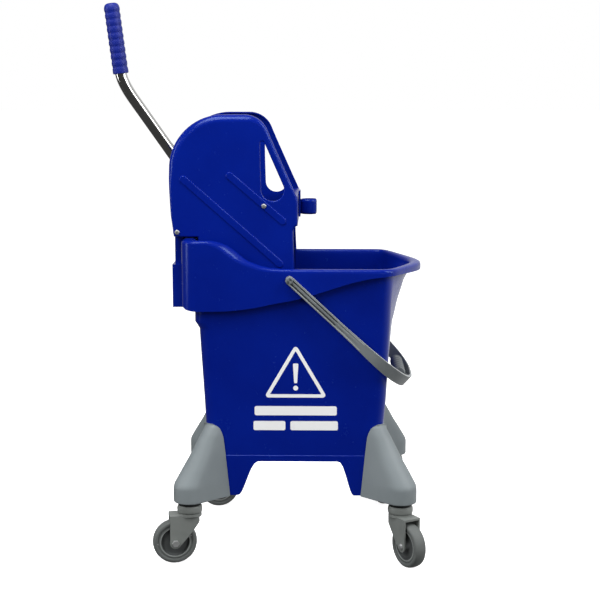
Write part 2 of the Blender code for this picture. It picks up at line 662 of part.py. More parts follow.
def cheek(name, sign, step=4, rib_step=3):
    """One side of the wringer: a dished plate with a rolled edge, a tear-drop hole and two raised ribs."""
    outline = cheek_outline(step)
    n = len(outline)
    verts, faces = [], []

    def ring(drop, depth):
        loop = inset([(p[0], p[1]) for p in outline], drop)
        verts.extend((x, sign * y, z) for (x, z), y in zip(loop, depth))
        return loop

    radii = [p[2] for p in outline]
    ring([0.0] * n, [CHEEK_Y - r - 1.0 for r in radii])
    angles = (0, 30, 60, 90)
    for a in angles:
        s, c = math.sin(math.radians(a)), math.cos(math.radians(a))
        outer = ring([r * (1 - c) for r in radii], [CHEEK_Y - r * (1 - s) for r in radii])
    count = 1 + len(angles)
    faces += grid_faces(count, n)
    face_base = (count - 1) * n
    hole_out, hole_mid, hole_in = drop_loop(2.0, step), drop_loop(0.0, step), drop_loop(0.0, step)
    ribs = [(-187.5, 649.5, -26.5, 507.5), (-110.0, 655.5, -21.5, 579.5)]
    caps = []
    for rib in ribs:
        caps.append((capsule(*rib, 6.5, rib_step), 0.0))
        caps.append((capsule(*rib, 5.0, rib_step), 1.1))
    loops = [outer, hole_out] + [c[0] for c in caps]
    tris = filled(loops, lambda x, z: inside(outer, x, z) and not inside(hole_out, x, z))
    index = list(range(face_base, face_base + n))
    start = len(verts)
    verts.extend((x, sign * CHEEK_Y, z) for x, z in hole_out)
    index += list(range(start, len(verts)))
    for loop, height in caps:
        start_cap = len(verts)
        verts.extend((x, sign * (CHEEK_Y + height), z) for x, z in loop)
        index += list(range(start_cap, len(verts)))
    faces += [tuple(index[k] for k in t) for t in tris]
    m = len(hole_out)
    start_mid = len(verts)
    verts.extend((x, sign * (CHEEK_Y - 1.4), z) for x, z in hole_mid)
    start_in = len(verts)
    verts.extend((x, sign * (CHEEK_Y - CHEEK_T), z) for x, z in hole_in)
    for i in range(m):
        j = (i + 1) % m
        faces.append((start + i, start + j, start_mid + j, start_mid + i))
        faces.append((start_mid + i, start_mid + j, start_in + j, start_in + i))
    # inner skin, from the face out to the rolled edge
    inner_first = len(verts)
    for a in (90, 45, 0):
        s, c = math.sin(math.radians(a)), math.cos(math.radians(a))
        inner_r = [max(r - CHEEK_T, 0.6) for r in radii]
        loop = ring([CHEEK_T * 0.8 + ir * (1 - c) if a else CHEEK_T * 0.8 for ir in inner_r],
                    [CHEEK_Y - CHEEK_T - ir * (1 - s) if a else CHEEK_Y - r - 1.0
                     for ir, r in zip(inner_r, radii)])
        if a == 90:
            inner = loop
    faces += grid_faces(3, n, inner_first)
    last = inner_first + 2 * n
    faces += [(i, (i + 1) % n, last + (i + 1) % n, last + i) for i in range(n)]
    tris = filled([inner, hole_in], lambda x, z: inside(inner, x, z) and not inside(hole_in, x, z))
    index = list(range(inner_first, inner_first + n)) + list(range(start_in, start_in + m))
    faces += [tuple(index[k] for k in t) for t in tris]
    side = loft(name, verts, faces, "blue_plastic")
    axle = (AXLE_X, 0, AXLE_Z)
    ring = [(AXLE_R + 0.6, sign * 84), (16.0, sign * 84), (17.0, sign * 98.2), (AXLE_R + 0.6, sign * 98.2)]
    combine(side, [turned("boss", ring, at=axle, axis="Y")])
    low, high = sorted((sign * 90, sign * 108))
    return cut(side, [cylinder("bore", 2.9, low, high, at=(x, 0, z), axis="Y", steps=12) for x, z in SCREWS])


def front_grille():
    """Slotted panel between the sides, with a pad for the handle clip and ears for the front screws."""
    panel = box("front_grille", (-10.6, -94.2, 452), (-7.2, 94.2, 575), "blue_plastic")
    extra = [box("pad", (-10.6, -94.2, 571), (3.4, 94.2, 621))]
    for s in (-1, 1):
        extra.append(box("tie", (-14, s * 93.4 - 3.2, 572), (-7.5, s * 93.4 + 3.2, 612)))
        extra.append(box("ear", (-62, s * 94.9 - 1.7, 592), (-8, s * 94.9 + 1.7, 610)))
    combine(panel, extra)
    return cut(panel, [box("slot", (-20, y - 5.5, 470), (0, y + 5.5, 556)) for y in
                       (-84, -63, -42, -21, 0, 21, 42, 63, 84)])


def strainer():
    """Curved floor of the chamber, bent round the axle from a flat grid, with rows of slots."""
    across, along = 13, 10
    work = bmesh.new()
    bmesh.ops.create_grid(work, x_segments=along, y_segments=across, size=0.5)
    work.faces.ensure_lookup_table()
    slots = []
    for face in work.faces:
        c = face.calc_center_median()
        i, j = int((c.y + 0.5) * across), int((c.x + 0.5) * along)
        if i % 2 == 1 and j in (1, 2, 4, 5, 7, 8):
            slots.append(face)
    bmesh.ops.delete(work, geom=slots, context="FACES")
    for v in work.verts:
        a = math.radians(-92.5 + 48.6 * (v.co.x + 0.5))
        v.co = Vector((STRAIN_R * math.cos(a), 191.2 * v.co.y, STRAIN_R * math.sin(a))) * MM
    bmesh.ops.reverse_faces(work, faces=work.faces)
    mesh = bpy.data.meshes.new("strainer")
    work.to_mesh(mesh)
    work.free()
    return solidify(add("strainer", mesh, "blue_plastic", (AXLE_X, 0, AXLE_Z)), 3.0)


def rear_hook():
    """Inverted channel that hangs the wringer over the collar of the bucket."""
    hook = box("rear_hook", (-205.6, -90, 552.6), (-164.5, 90, 556.4), "blue_plastic")
    extra = [box("neck", (-205.6, -72, 500), (-196.5, 72, 555)), box("flap", (-208.8, -90, 432), (-195.2, 90, 505)),
             box("leg", (-164.9, -90, 470), (-161.6, 90, 556.4))]
    extra += [box("ear", (-203.0, s * 91 - 3.0, 553.5), (-170.0, s * 91 + 3.0, 569)) for s in (-1, 1)]
    combine(hook, extra)
    away = [box("groove", (-215, y - 3, 508), (-203.4, y + 3, 549)) for y in (-60, -40, -20, 0, 20, 40, 60)]
    away.append(box("hollow", (-205.4, -86, 420), (-180, 86, 500.5)))
    away.append(cylinder("hole", 4.0, -100, 100, at=(SCREWS[0][0], 0, SCREWS[0][1]), axis="Y"))
    return cut(hook, away)


def cheek_screw(place, side, s):
    x, z = SCREWS[0 if place == "rear" else 1]
    seat = CHEEK_Y + (0.4 if place == "rear" else 1.5)
    profile = [(0, s * 96.9), (2.4, s * 96.9), (2.4, s * seat), (4.9, s * seat), (4.4, s * (seat + 1.8)),
               (2.6, s * (seat + 2.8)), (0, s * (seat + 3))]
    return turned(f"screw_{place}_{side}", profile, "zinc", (x, 0, z), "Y", 12)


def return_spring(side, s):
    """Torsion spring wound round the axle, with one straight leg."""
    turns, per = 4, 10
    coil = []
    for k in range(turns * per + 1):
        a = math.pi + 2 * math.pi * k / per
        coil.append((AXLE_X + 11.5 * math.cos(a), s * (61.0 + 19.0 * k / (turns * per)),
                     AXLE_Z + 11.5 * math.sin(a)))
    x, y, z = coil[0]
    return rod("return_spring_" + side, [(x, y, z - 26), (x, y, z - 8)] + coil, 1.5, "zinc", 1)


def handle_clip():
    """Base plate with a C-shaped claw for a mop handle, open to the front."""
    base = box("handle_clip", (3.8, -14, 579), (7.0, 14, 624), "blue_plastic")
    steps = 14
    angles = [math.radians(35 + 290 * k / steps) for k in range(steps + 1)]
    outer = [(22 + 16.0 * math.cos(a), 16.0 * math.sin(a)) for a in angles]
    inner = [(22 + 12.4 * math.cos(a), 12.4 * math.sin(a)) for a in reversed(angles)]
    claw = plate("claw", outer + inner, -13, 13)
    claw.rotation_euler = (0.0, 0.0, 0.0)
    claw.location = (0.0, 0.0, 596 * MM)
    return combine(base, [box("neck", (5, -7, 583.5), (8.8, 7, 608.5)), claw])


# ---------------------------------------------------------------- press
def lever_path(steps):
    """Centre line of the lever up to the grip in x and z, the grip's foot and the grip's direction."""
    dx, dz = LEVER_DIR
    foot = (-302.4, 824.0)
    lean = math.radians(7.0)
    up = (-math.sin(lean), math.cos(lean))
    start = (AXLE_X + dx * 21, AXLE_Z + dz * 21)
    t = ((foot[0] - start[0]) * up[1] - (foot[1] - start[1]) * up[0]) / (dx * up[1] - dz * up[0])
    knee = (start[0] + dx * t, start[1] + dz * t)
    a = (knee[0] - dx * 36, knee[1] - dz * 36)
    b = (knee[0] + up[0] * 17, knee[1] + up[1] * 17)
    pts = [start]
    for k in range(steps + 1):
        s = k / steps
        pts.append(tuple(a[i] * (1 - s) ** 2 + 2 * knee[i] * s * (1 - s) + b[i] * s * s for i in (0, 1)))
    return pts, foot, up


def tilt(direction):
    """Rotation that takes +Z to a direction in the x, z plane."""
    return (0.0, math.atan2(direction[0], direction[1]), 0.0)


def press_plate():
    """Ribbed plate hung from two hubs on the axle."""
    bottom, axle = AXLE_Z - PLATE_REACH, (AXLE_X, 0, AXLE_Z)
    flat = box("press_plate", (AXLE_X - 3.5, -90, bottom), (AXLE_X + 0.5, 90, AXLE_Z - 20), "blue_plastic")
    extra = [box("rib", (AXLE_X, y - 2, bottom), (AXLE_X + 7, y + 2, AXLE_Z - 26)) for y in
             (-81, -54, -27, 0, 27, 54, 81)]
    extra += [box("cross", (AXLE_X - 15.2, -90, AXLE_Z - d - 2), (AXLE_X - 3, 90, AXLE_Z - d + 2)) for d in
              (60, 110, 160)]
    for y in (-47, 47):
        extra.append(box("arm", (AXLE_X - 6, y - 9, AXLE_Z - 30), (AXLE_X + 6, y + 9, AXLE_Z)))
        extra.append(cylinder("hub", 13.0, y - 9.0, y + 9.0, at=axle, axis="Y", steps=20))
    combine(flat, extra)
    return cut(flat, [cylinder("bore", AXLE_R + GAP, -100, 100, at=axle, axis="Y", steps=20)])


def lever_socket():
    """Clamp block on the axle with a sleeve for the tube."""
    axle, turn = (AXLE_X, 0, AXLE_Z), tilt(LEVER_DIR)
    block = cylinder("lever_socket", 16.0, -17, 17, "fork_grey", axle, "Y", 24)
    combine(block, [cylinder("sleeve", 14.2, 5, 62, at=axle, axis=turn, steps=20)])
    return cut(block, [cylinder("hole", TUBE_R + GAP, 20.6, 80, at=axle, axis=turn, steps=20),
                       cylinder("bore", AXLE_R + GAP, -30, 30, at=axle, axis="Y", steps=20)])


def socket_bolt(number, u):
    at = (AXLE_X + LEVER_DIR[0] * u, 0, AXLE_Z + LEVER_DIR[1] * u)
    return cylinder(f"socket_bolt_{number}", 5.2, -18.4, -14.6, "zinc", at, "Y", 6)


def press_lever():
    pts, foot, up = lever_path(6)
    path = [(x, 0.0, z) for x, z in pts]
    path.append((foot[0] + up[0] * (GRIP_LEN - 6), 0.0, foot[1] + up[1] * (GRIP_LEN - 6)))
    return rod("press_lever", path, TUBE_R, "chrome")


def lever_grip():
    pts, foot, up = lever_path(6)
    r, top = TUBE_R + GAP, GRIP_LEN
    profile = [(0, top - 4), (r, top - 4), (r, 0), (GRIP_R - 0.8, 0), (GRIP_R, 2), (GRIP_R - 0.6, 30), (GRIP_R, 60),
               (GRIP_R - 0.6, 92), (GRIP_R, top - 8), (GRIP_R - 2.2, top - 2.2), (GRIP_R - 6, top), (0, top)]
    return turned("lever_grip", profile, "blue_plastic", (foot[0], 0, foot[1]), tilt(up), 20)


def build():
    root = empty("mop_bucket_origin", (SHIFT_X, 0, -DROP))
    bucket = [bucket_shell()]
    for corner, sx, sy in (("rear_right", -1, -1), ("front_right", 1, -1), ("rear_left", -1, 1),
                           ("front_left", 1, 1)):
        bucket += [corner_housing("housing_" + corner, sx, sy), collar(corner, sx, sy)]
        fixed, rolling, wheel = caster(corner)
        swivel = empty("swivel_" + corner, (sx * PIVOT_X, sy * PIVOT_Y, DROP), root, math.radians(SWIVEL_REST[corner]))
        attach(fixed, swivel)
        attach(rolling, empty("wheel_axis_" + corner, wheel, swivel), wheel)
    bucket += [bail_stud("right", -1), bail_stud("left", 1)]
    attach(bucket, root)
    pivot = (BAIL_X, 0, BAIL_Z)
    attach([bail_frame(), bail_grip()], empty("bail_axis", pivot, root), pivot)
    fixed = [cheek("cheek_right", -1), cheek("cheek_left", 1), front_grille(), strainer(), rear_hook(),
             cylinder("tie_rod_rear", 3.6, -95.9, 95.9, "zinc", (SCREWS[0][0], 0, SCREWS[0][1]), "Y", 12),
             handle_clip()]
    for side, s in (("right", -1), ("left", 1)):
        fixed += [cheek_screw("rear", side, s), cheek_screw("front", side, s), return_spring(side, s)]
    lift = empty("wringer_lift", (0, 0, 0), root)
    attach(fixed, lift)
    axle = (AXLE_X, 0, AXLE_Z)
    moving = [cylinder("main_axle", AXLE_R, -96.4, 96.4, "zinc", axle, "Y", 20), press_plate(), lever_socket(),
              socket_bolt(1, 34), socket_bolt(2, 52), press_lever(), lever_grip()]
    attach(moving, empty("press_axis", axle, lift), axle)
    for obj in PARTS.objects:
        if obj.type == "MESH":
            obj.data.shade_smooth()
            obj.data.set_sharp_from_angle(angle=math.radians(38))


build()
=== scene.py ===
"""Mop bucket on swivel casters with a down-press wringer: looks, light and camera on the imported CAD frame.
Every visible piece is rebuilt finer than its CAD node, in the same place. Lengths inside the builders are
millimetres from the middle of the casters, and OFFSET_X and DROP take them to the row frame."""
import json
from math import acos, atan2, cos, degrees, hypot, pi, radians, sin, tan

import bmesh
import bpy
from mathutils import Matrix, Vector, geometry

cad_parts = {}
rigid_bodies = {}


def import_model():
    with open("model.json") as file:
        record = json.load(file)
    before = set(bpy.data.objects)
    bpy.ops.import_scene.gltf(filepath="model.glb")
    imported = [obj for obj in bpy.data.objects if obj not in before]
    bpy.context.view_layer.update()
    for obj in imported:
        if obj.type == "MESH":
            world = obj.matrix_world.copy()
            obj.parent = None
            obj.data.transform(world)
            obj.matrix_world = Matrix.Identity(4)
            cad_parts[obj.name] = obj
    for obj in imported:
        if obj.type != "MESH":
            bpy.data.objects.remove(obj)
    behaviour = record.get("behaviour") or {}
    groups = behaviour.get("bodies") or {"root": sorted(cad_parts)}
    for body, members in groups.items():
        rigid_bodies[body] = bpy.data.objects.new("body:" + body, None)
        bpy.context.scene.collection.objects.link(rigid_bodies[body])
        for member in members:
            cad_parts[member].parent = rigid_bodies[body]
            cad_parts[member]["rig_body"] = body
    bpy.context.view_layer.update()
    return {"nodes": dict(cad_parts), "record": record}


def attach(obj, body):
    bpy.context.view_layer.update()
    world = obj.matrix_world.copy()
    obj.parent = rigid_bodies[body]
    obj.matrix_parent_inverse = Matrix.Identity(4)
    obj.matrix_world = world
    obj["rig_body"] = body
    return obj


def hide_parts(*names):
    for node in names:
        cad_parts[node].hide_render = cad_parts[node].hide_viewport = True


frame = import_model()

MM = 0.001
OFFSET_X, DROP = 55.5, 4.6
CORNERS = (("rear_right", -1, -1, 191.0), ("front_right", 1, -1, -58.0), ("rear_left", -1, 1, 8.0),
           ("front_left", 1, 1, 122.0))
PIVOT_X, PIVOT_Y = 178.0, 155.0
WHEEL_R, TRAIL = 37.5, 26.0
WALL, FLOOR_Z, LEG_Z, BELLY_Z = 3.0, 183.0, 112.0, 172.0
RIM_HALF, COLLAR_X, RIM_ROUND = 145.5, -190.0, 3.5
BAIL_X, BAIL_Z, BAIL_REACH, BAIL_HALF, BAIL_ANGLE, GRIP_U = -9.0, 487.0, 278.0, 149.0, -43.0, 257.0
CHEEK_Y, CHEEK_T = 100.0, 3.0
AXLE_X, AXLE_Z, AXLE_R = -146.0, 588.0, 8.0
STRAIN_R, PLATE_REACH = 186.0, 182.0
SCREWS = ((-198.8, 560.9), (-52.8, 605.2))
LEVER_DIR = (-0.5735, 0.8192)
TUBE_R, GRIP_R, GRIP_LEN = 10.0, 13.5, 120.0
# Heights on the collar that keep its grey; the faces above and below them get painted shade for the dark gaps at the
# housing and the fork.
UNSHADED_COLLAR_BAND = (93.4, 104.8)
# Radii of the hub's lip, where a ring of painted highlight goes.
LIP_R = (24.2, 25.6)
ORIGIN, BAIL_PIVOT, AXLE = (0.0, 0.0, 0.0), (BAIL_X, 0, BAIL_Z), (AXLE_X, 0, AXLE_Z)


# ---- helpers; lengths in millimetres, turns in radians
def add(name, data, at=ORIGIN, turn=(0.0, 0.0, 0.0)):
    obj = bpy.data.objects.new(name, data)
    obj.location = [c * MM for c in at]
    obj.rotation_euler = turn
    bpy.context.scene.collection.objects.link(obj)
    return obj


def evaluated(obj):
    bpy.context.view_layer.update()
    graph = bpy.context.evaluated_depsgraph_get()
    return bpy.data.meshes.new_from_object(obj.evaluated_get(graph))


def as_mesh(obj):
    """Applies the modifiers, or turns a curve into a welded mesh, with the faces pointing out."""
    mesh = evaluated(obj)
    work = bmesh.new()
    work.from_mesh(mesh)
    bmesh.ops.remove_doubles(work, verts=work.verts, dist=1e-6)
    bmesh.ops.recalc_face_normals(work, faces=work.faces)
    if work.calc_volume(signed=True) < 0:
        bmesh.ops.reverse_faces(work, faces=work.faces)
    work.to_mesh(mesh)
    work.free()
    if obj.type == "MESH":
        obj.modifiers.clear()
        obj.data = mesh
        return obj
    made = add("made", mesh)
    made.matrix_world = obj.matrix_world
    name = obj.name
    bpy.data.objects.remove(obj, do_unlink=True)
    made.name = name
    return made


def combine(obj, others, operation="UNION"):
    """Boolean with each of the other solids in turn; the helpers are used up."""
    for other in others:
        modifier = obj.modifiers.new(operation.lower(), "BOOLEAN")
        modifier.operation = operation
        modifier.object = other
        result = evaluated(obj)
        obj.modifiers.clear()
        obj.data = result
        bpy.data.objects.remove(other, do_unlink=True)
    return obj


def cut(obj, others):
    return combine(obj, others, "DIFFERENCE")


def loft(name, verts, faces):
    mesh = bpy.data.meshes.new(name)
    mesh.from_pydata([[c * MM for c in v] for v in verts], [], faces)
    return as_mesh(add(name, mesh))


def box(name, low, high):
    size = [(b - a) * MM for a, b in zip(low, high)]
    work = bmesh.new()
    bmesh.ops.create_cube(work, size=1.0, matrix=Matrix.Diagonal((*size, 1.0)))
    mesh = bpy.data.meshes.new(name)
    work.to_mesh(mesh)
    work.free()
    return add(name, mesh, [(a + b) / 2 for a, b in zip(low, high)])


TURNS = {"Y": (-pi / 2, 0.0, 0.0), "Z": ORIGIN}


def turned(name, profile, at=ORIGIN, axis="Z", steps=48):
    """A profile of (radius, height) turned with a Screw. `axis` is a letter or a rotation."""
    area = sum(a[0] * b[1] - b[0] * a[1] for a, b in zip(profile, profile[1:] + profile[:1]))
    points = profile[::-1] if area > 0 else profile
    edges = [(k, k + 1) for k in range(len(points) - 1)]
    if min(r for r, _ in points) > 0:
        edges.append((len(points) - 1, 0))
    mesh = bpy.data.meshes.new(name)
    mesh.from_pydata([(r * MM, 0.0, h * MM) for r, h in points], edges, [])
    obj = add(name, mesh, at, TURNS[axis] if isinstance(axis, str) else axis)
    screw = obj.modifiers.new("turn", "SCREW")
    screw.axis = "Z"
    screw.steps = screw.render_steps = steps
    screw.use_merge_vertices = True
    screw.merge_threshold = 1e-5
    return as_mesh(obj)


def cylinder(name, radius, low, high, at=ORIGIN, axis="Z", steps=32):
    return turned(name, [(0, low), (radius, low), (radius, high), (0, high)], at, axis, steps)


def poly_curve(name, dimensions, points, cyclic):
    curve = bpy.data.curves.new(name, "CURVE")
    curve.dimensions = dimensions
    spline = curve.splines.new("POLY")
    spline.points.add(len(points) - 1)
    for point, (x, y, z) in zip(spline.points, points):
        point.co = (x * MM, y * MM, z * MM, 1.0)
    spline.use_cyclic_u = cyclic
    return curve


def plate(name, outline, y0, y1):
    """A flat outline of (x, z) points as a filled 2D curve, extruded along y."""
    curve = poly_curve(name, "2D", [(x, z, 0.0) for x, z in outline], True)
    curve.fill_mode = "BOTH"
    curve.extrude = abs(y1 - y0) / 2 * MM
    return as_mesh(add(name, curve, (0.0, (y0 + y1) / 2, 0.0), (pi / 2, 0.0, 0.0)))


def rod(name, path, radius, resolution):
    """A round bar along a POLY curve with filled caps."""
    curve = poly_curve(name, "3D", path, False)
    curve.bevel_depth = radius * MM
    curve.bevel_resolution = resolution
    curve.use_fill_caps = True
    return as_mesh(add(name, curve))


def solidify(obj, thickness):
    wall = obj.modifiers.new("wall", "SOLIDIFY")
    wall.thickness = thickness * MM
    wall.offset = -1.0
    wall.use_even_offset = True
    return as_mesh(obj)


def rounded(obj, width, segments=2, angle=35.0, merge=True):
    """Flat facets joined, then a small round on every edge sharper than the angle."""
    if merge:
        work = bmesh.new()
        work.from_mesh(obj.data)
        bmesh.ops.remove_doubles(work, verts=work.verts, dist=2e-6)
        bmesh.ops.dissolve_limit(work, angle_limit=radians(0.8), verts=work.verts, edges=work.edges)
        work.to_mesh(obj.data)
        work.free()
    soft = obj.modifiers.new("round", "BEVEL")
    soft.width = width * MM
    soft.segments = segments
    soft.limit_method = "ANGLE"
    soft.angle_limit = radians(angle)
    soft.miter_outer = "MITER_ARC"
    obj.data = evaluated(obj)
    obj.modifiers.clear()
    return obj


def band(a, b):
    """Quads between two closed loops of point numbers."""
    return [(a[i], a[(i + 1) % len(a)], b[(i + 1) % len(a)], b[i]) for i in range(len(a))]


def grid_faces(rows, cols, base=0):
    """Quads between rows of points that close on themselves."""
    loops = [range(base + j * cols, base + (j + 1) * cols) for j in range(rows)]
    return [face for pair in zip(loops, loops[1:]) for face in band(*pair)]


def stack(name, rows):
    """A solid through closed rows of points, flat at both ends."""
    n, last = len(rows[0]), (len(rows) - 1) * len(rows[0])
    ends = [tuple(range(n - 1, -1, -1)), tuple(range(last, last + n))]
    return loft(name, [p for row in rows for p in row], ends + grid_faces(len(rows), n))


def both_ends(half):
    """A profile and its mirror image, in one run."""
    return half + [(r, -h) for r, h in reversed(half)]


def cross_recess(head, size, at, first=0.0):
    """Two crossed slots in a screw head that looks along y."""
    for angle in (first, first + pi / 2):
        slot = box("slot", [-c / 2 for c in size], [c / 2 for c in size])
        slot.rotation_euler = (0.0, angle, 0.0)
        slot.location = [c * MM for c in at]
        cut(head, [slot])
    return head


def arc(cx, cz, radius, start, end, steps):
    angles = [radians(start + (end - start) * k / steps) for k in range(steps + 1)]
    return [(cx + radius * cos(a), cz + radius * sin(a)) for a in angles]


def lerp_table(table, x):
    if x <= table[0][0]:
        return table[0][1]
    for (x0, y0), (x1, y1) in zip(table, table[1:]):
        if x <= x1:
            return y0 + (y1 - y0) * (x - x0) / (x1 - x0)
    return table[-1][1]


def flow_table(table, x):
    """A smooth curve through the table's points."""
    if x <= table[0][0] or x >= table[-1][0]:
        return lerp_table(table, x)
    k = max(i for i in range(len(table) - 1) if table[i][0] <= x)
    (x0, y0), (x1, y1) = table[k], table[k + 1]
    before = table[k - 1] if k else (x0 - (x1 - x0), y0 - (y1 - y0))
    after = table[k + 2] if k + 2 < len(table) else (x1 + (x1 - x0), y1 + (y1 - y0))
    m0 = (y1 - before[1]) / (x1 - before[0]) * (x1 - x0)
    m1 = (after[1] - y0) / (after[0] - x0) * (x1 - x0)
    t = (x - x0) / (x1 - x0)
    return (y0 * (2 * t ** 3 - 3 * t * t + 1) + m0 * (t ** 3 - 2 * t * t + t) + y1 * (3 * t * t - 2 * t ** 3)
            + m1 * (t ** 3 - t * t))


def smooth(x, low, high):
    t = min(max((x - low) / (high - low), 0.0), 1.0)
    return t * t * (3 - 2 * t)


# ---- materials
def node(tree, kind, sockets=(), **settings):
    made = tree.nodes.new(kind)
    for key, value in settings.items():
        setattr(made, key, value)
    fill(made, dict(sockets))
    return made


def fill(made, sockets):
    for key, value in sockets.items():
        made.inputs[key].default_value = value


def link(tree, a, out, b, into):
    tree.links.new(a.outputs[out], b.inputs[into])


def noise(tree, coords, scale, detail, rough, stretch=None):
    made = node(tree, "ShaderNodeTexNoise", {"Scale": scale, "Detail": detail, "Roughness": rough})
    if stretch:
        mapping = node(tree, "ShaderNodeMapping", {"Scale": stretch})
        link(tree, coords, "Object", mapping, "Vector")
        link(tree, mapping, "Vector", made, "Vector")
    else:
        link(tree, coords, "Object", made, "Vector")
    return made


def ramp(tree, source, out, stops):
    made = node(tree, "ShaderNodeValToRGB")
    elements = made.color_ramp.elements
    while len(elements) < len(stops):
        elements.new(0.5)
    for element, (position, colour) in zip(elements, stops):
        element.position = position
        element.color = (*colour, 1.0)
    link(tree, source, out, made, "Fac")
    return made


def to_range(tree, source, out, low, high, from_low=0.3, from_high=0.7):
    made = node(tree, "ShaderNodeMapRange",
                {"From Min": from_low, "From Max": from_high, "To Min": low, "To Max": high})
    link(tree, source, out, made, "Value")
    return made


def bump(tree, height, distance, under=None):
    made = node(tree, "ShaderNodeBump", {"Strength": 1.0, "Distance": distance})
    link(tree, height, "Fac", made, "Height")
    if under:
        link(tree, under, "Normal", made, "Normal")
    return made


def surface(name, colour, dark, rough, metal=0.0, grain=1500.0, depth=0.00002, wave=6.0, wave_depth=0.0,
            specular=0.5, patch=9.0, stretch=None, tint=None):
    """A moulded, cast or plated surface: slow colour drift, faint scuffs, fine grain and soft waviness.
    Scales are per metre and depths are in metres."""
    mat = bpy.data.materials.new(name)
    mat.use_nodes = True
    tree = mat.node_tree
    shader = tree.nodes["Principled BSDF"]
    fill(shader, {"Metallic": metal, "Specular IOR Level": specular})
    if tint:
        shader.inputs["Specular Tint"].default_value = (*tint, 1.0)
    coords = node(tree, "ShaderNodeTexCoord")
    drift = noise(tree, coords, patch, 4.0, 0.55)
    link(tree, ramp(tree, drift, "Fac", ((0.32, dark), (0.68, colour))), "Color", shader, "Base Color")
    scuff = noise(tree, coords, 60.0, 6.0, 0.72, stretch)
    link(tree, to_range(tree, scuff, "Fac", rough - 0.05, rough + 0.07), "Result", shader, "Roughness")
    relief = bump(tree, noise(tree, coords, grain, 2.0, 0.6, stretch), depth)
    if wave_depth:
        relief = bump(tree, noise(tree, coords, wave, 2.0, 0.4), wave_depth, relief)
    link(tree, relief, "Normal", shader, "Normal")
    return mat


BLUE = surface("blue_polypropylene", (0.0012, 0.0125, 0.250), (0.0010, 0.0098, 0.212), 0.22, grain=1400.0,
               depth=0.000005, wave=7.0, wave_depth=0.0005, specular=0.36, tint=(0.45, 0.65, 1.0))
BLUE_GRIP = surface("blue_grip", (0.004, 0.016, 0.24), (0.003, 0.012, 0.2), 0.5, grain=1600.0, depth=0.00004,
                    specular=0.4)
GREY = surface("grey_polypropylene", (0.215, 0.245, 0.257), (0.186, 0.214, 0.225), 0.46, grain=1300.0, wave=14.0,
               wave_depth=0.0003, specular=0.4)
FORK = surface("grey_nylon", (0.205, 0.220, 0.210), (0.165, 0.178, 0.170), 0.42, specular=0.45, patch=22.0)
RUBBER = surface("grey_tyre_rubber", (0.135, 0.146, 0.142), (0.104, 0.113, 0.110), 0.55, grain=1800.0,
                 depth=0.00005, specular=0.35, patch=30.0)
HUB = surface("dark_hub", (0.085, 0.092, 0.092), (0.06, 0.066, 0.066), 0.5, depth=0.00003, specular=0.4,
              patch=30.0)
BAIL = surface("bail_plastic", (0.185, 0.203, 0.208), (0.148, 0.164, 0.170), 0.40, grain=1400.0, specular=0.42,
               patch=20.0)
CHROME = surface("chromed_tube", (0.62, 0.62, 0.61), (0.54, 0.54, 0.53), 0.12, 1.0, grain=300.0,
                 depth=0.000004, patch=40.0, stretch=(1.0, 1.0, 14.0))
ZINC = surface("zinc_plate", (0.50, 0.51, 0.51), (0.36, 0.37, 0.37), 0.32, 0.55, grain=900.0, depth=0.00001,
               patch=120.0)
# Near-black paint in the strap's groove for its shade, and a light grey on its edges and ridges for their highlights:
# painted shade and painted highlight.
GROOVE_SHADE = surface("bail_groove_painted_shade", (0.060, 0.068, 0.072), (0.045, 0.052, 0.056), 0.5, grain=1400.0, specular=0.35,
                 patch=20.0)
BAIL_HIGHLIGHT = surface("bail_painted_highlight", (0.38, 0.405, 0.41), (0.31, 0.33, 0.335), 0.36, grain=1400.0, patch=20.0)
# A light grey ring on the hub's lip at the tyre: painted highlight.
LIP_HIGHLIGHT = surface("hub_lip_painted_highlight", (0.26, 0.28, 0.27), (0.21, 0.225, 0.22), 0.45, specular=0.4, patch=30.0)
# Near-black paint for the shade in the gaps above and below each swivel collar: painted shade, not a seal.
GAP_SHADE = surface("painted_gap_shade", (0.020, 0.022, 0.022), (0.014, 0.016, 0.016), 0.6, specular=0.3, patch=40.0)
PRINT = surface("white_print", (0.97, 0.98, 0.98), (0.92, 0.93, 0.94), 0.42, grain=1800.0, depth=0.000006,
                specular=0.4)


# ---- bucket
# Walls of the bucket as (height, x or y), then the spacing of its columns: rear, corner, side, corner, front.
REAR_X = [(112, -149.5), (183, -151.5), (223, -152.6), (276, -155), (362, -160), (400, -162),
          (412, -169.5), (560, -169.5)]
FRONT_CORNER_X = [(112, 146.5), (183, 148.5), (225, 150), (276, 154), (316, 156), (416, 160.7), (441, 161.6),
                  (487, 165), (510, 166)]
FRONT_MID_X = [(112, 148), (183, 150.5), (225, 152.5), (276, 157), (329, 161.5), (365, 164.8), (400, 168.4),
               (413, 172), (435, 177), (455, 183.5), (469, 187.6), (481, 194), (490, 199), (510, 201)]
HALF_Y = [(112, 125), (183, 126.5), (400, 131.5), (510, 133.5)]
REAR_F, CORNER_DEG = (0.0, .15, .3, .46, .62, .74, .86, .94), (0, 9, 18, 27, 36, 45, 54, 63, 72, 81)
SIDE = [0, .015, .03, .045, .06, .0725, .085, .0975, .11, .125, .14, .155, .17, .19, .21, .23, .25, .275, .3, .325,
        .35, .38, .41, .45, .5, .55, .6, .65, .7, .75, .79, .81, .83, .85, .87, .8825, .895, .9075, .92, .935, .95,
        .975, 1]
FRONT_T = tuple(k / 9 for k in range(1, 9))
FRONT_F = (1.0, .95, .9, .83, .76, .68, .6, .52, .44, .37, .3, .24, .18, .13, .085, .045)
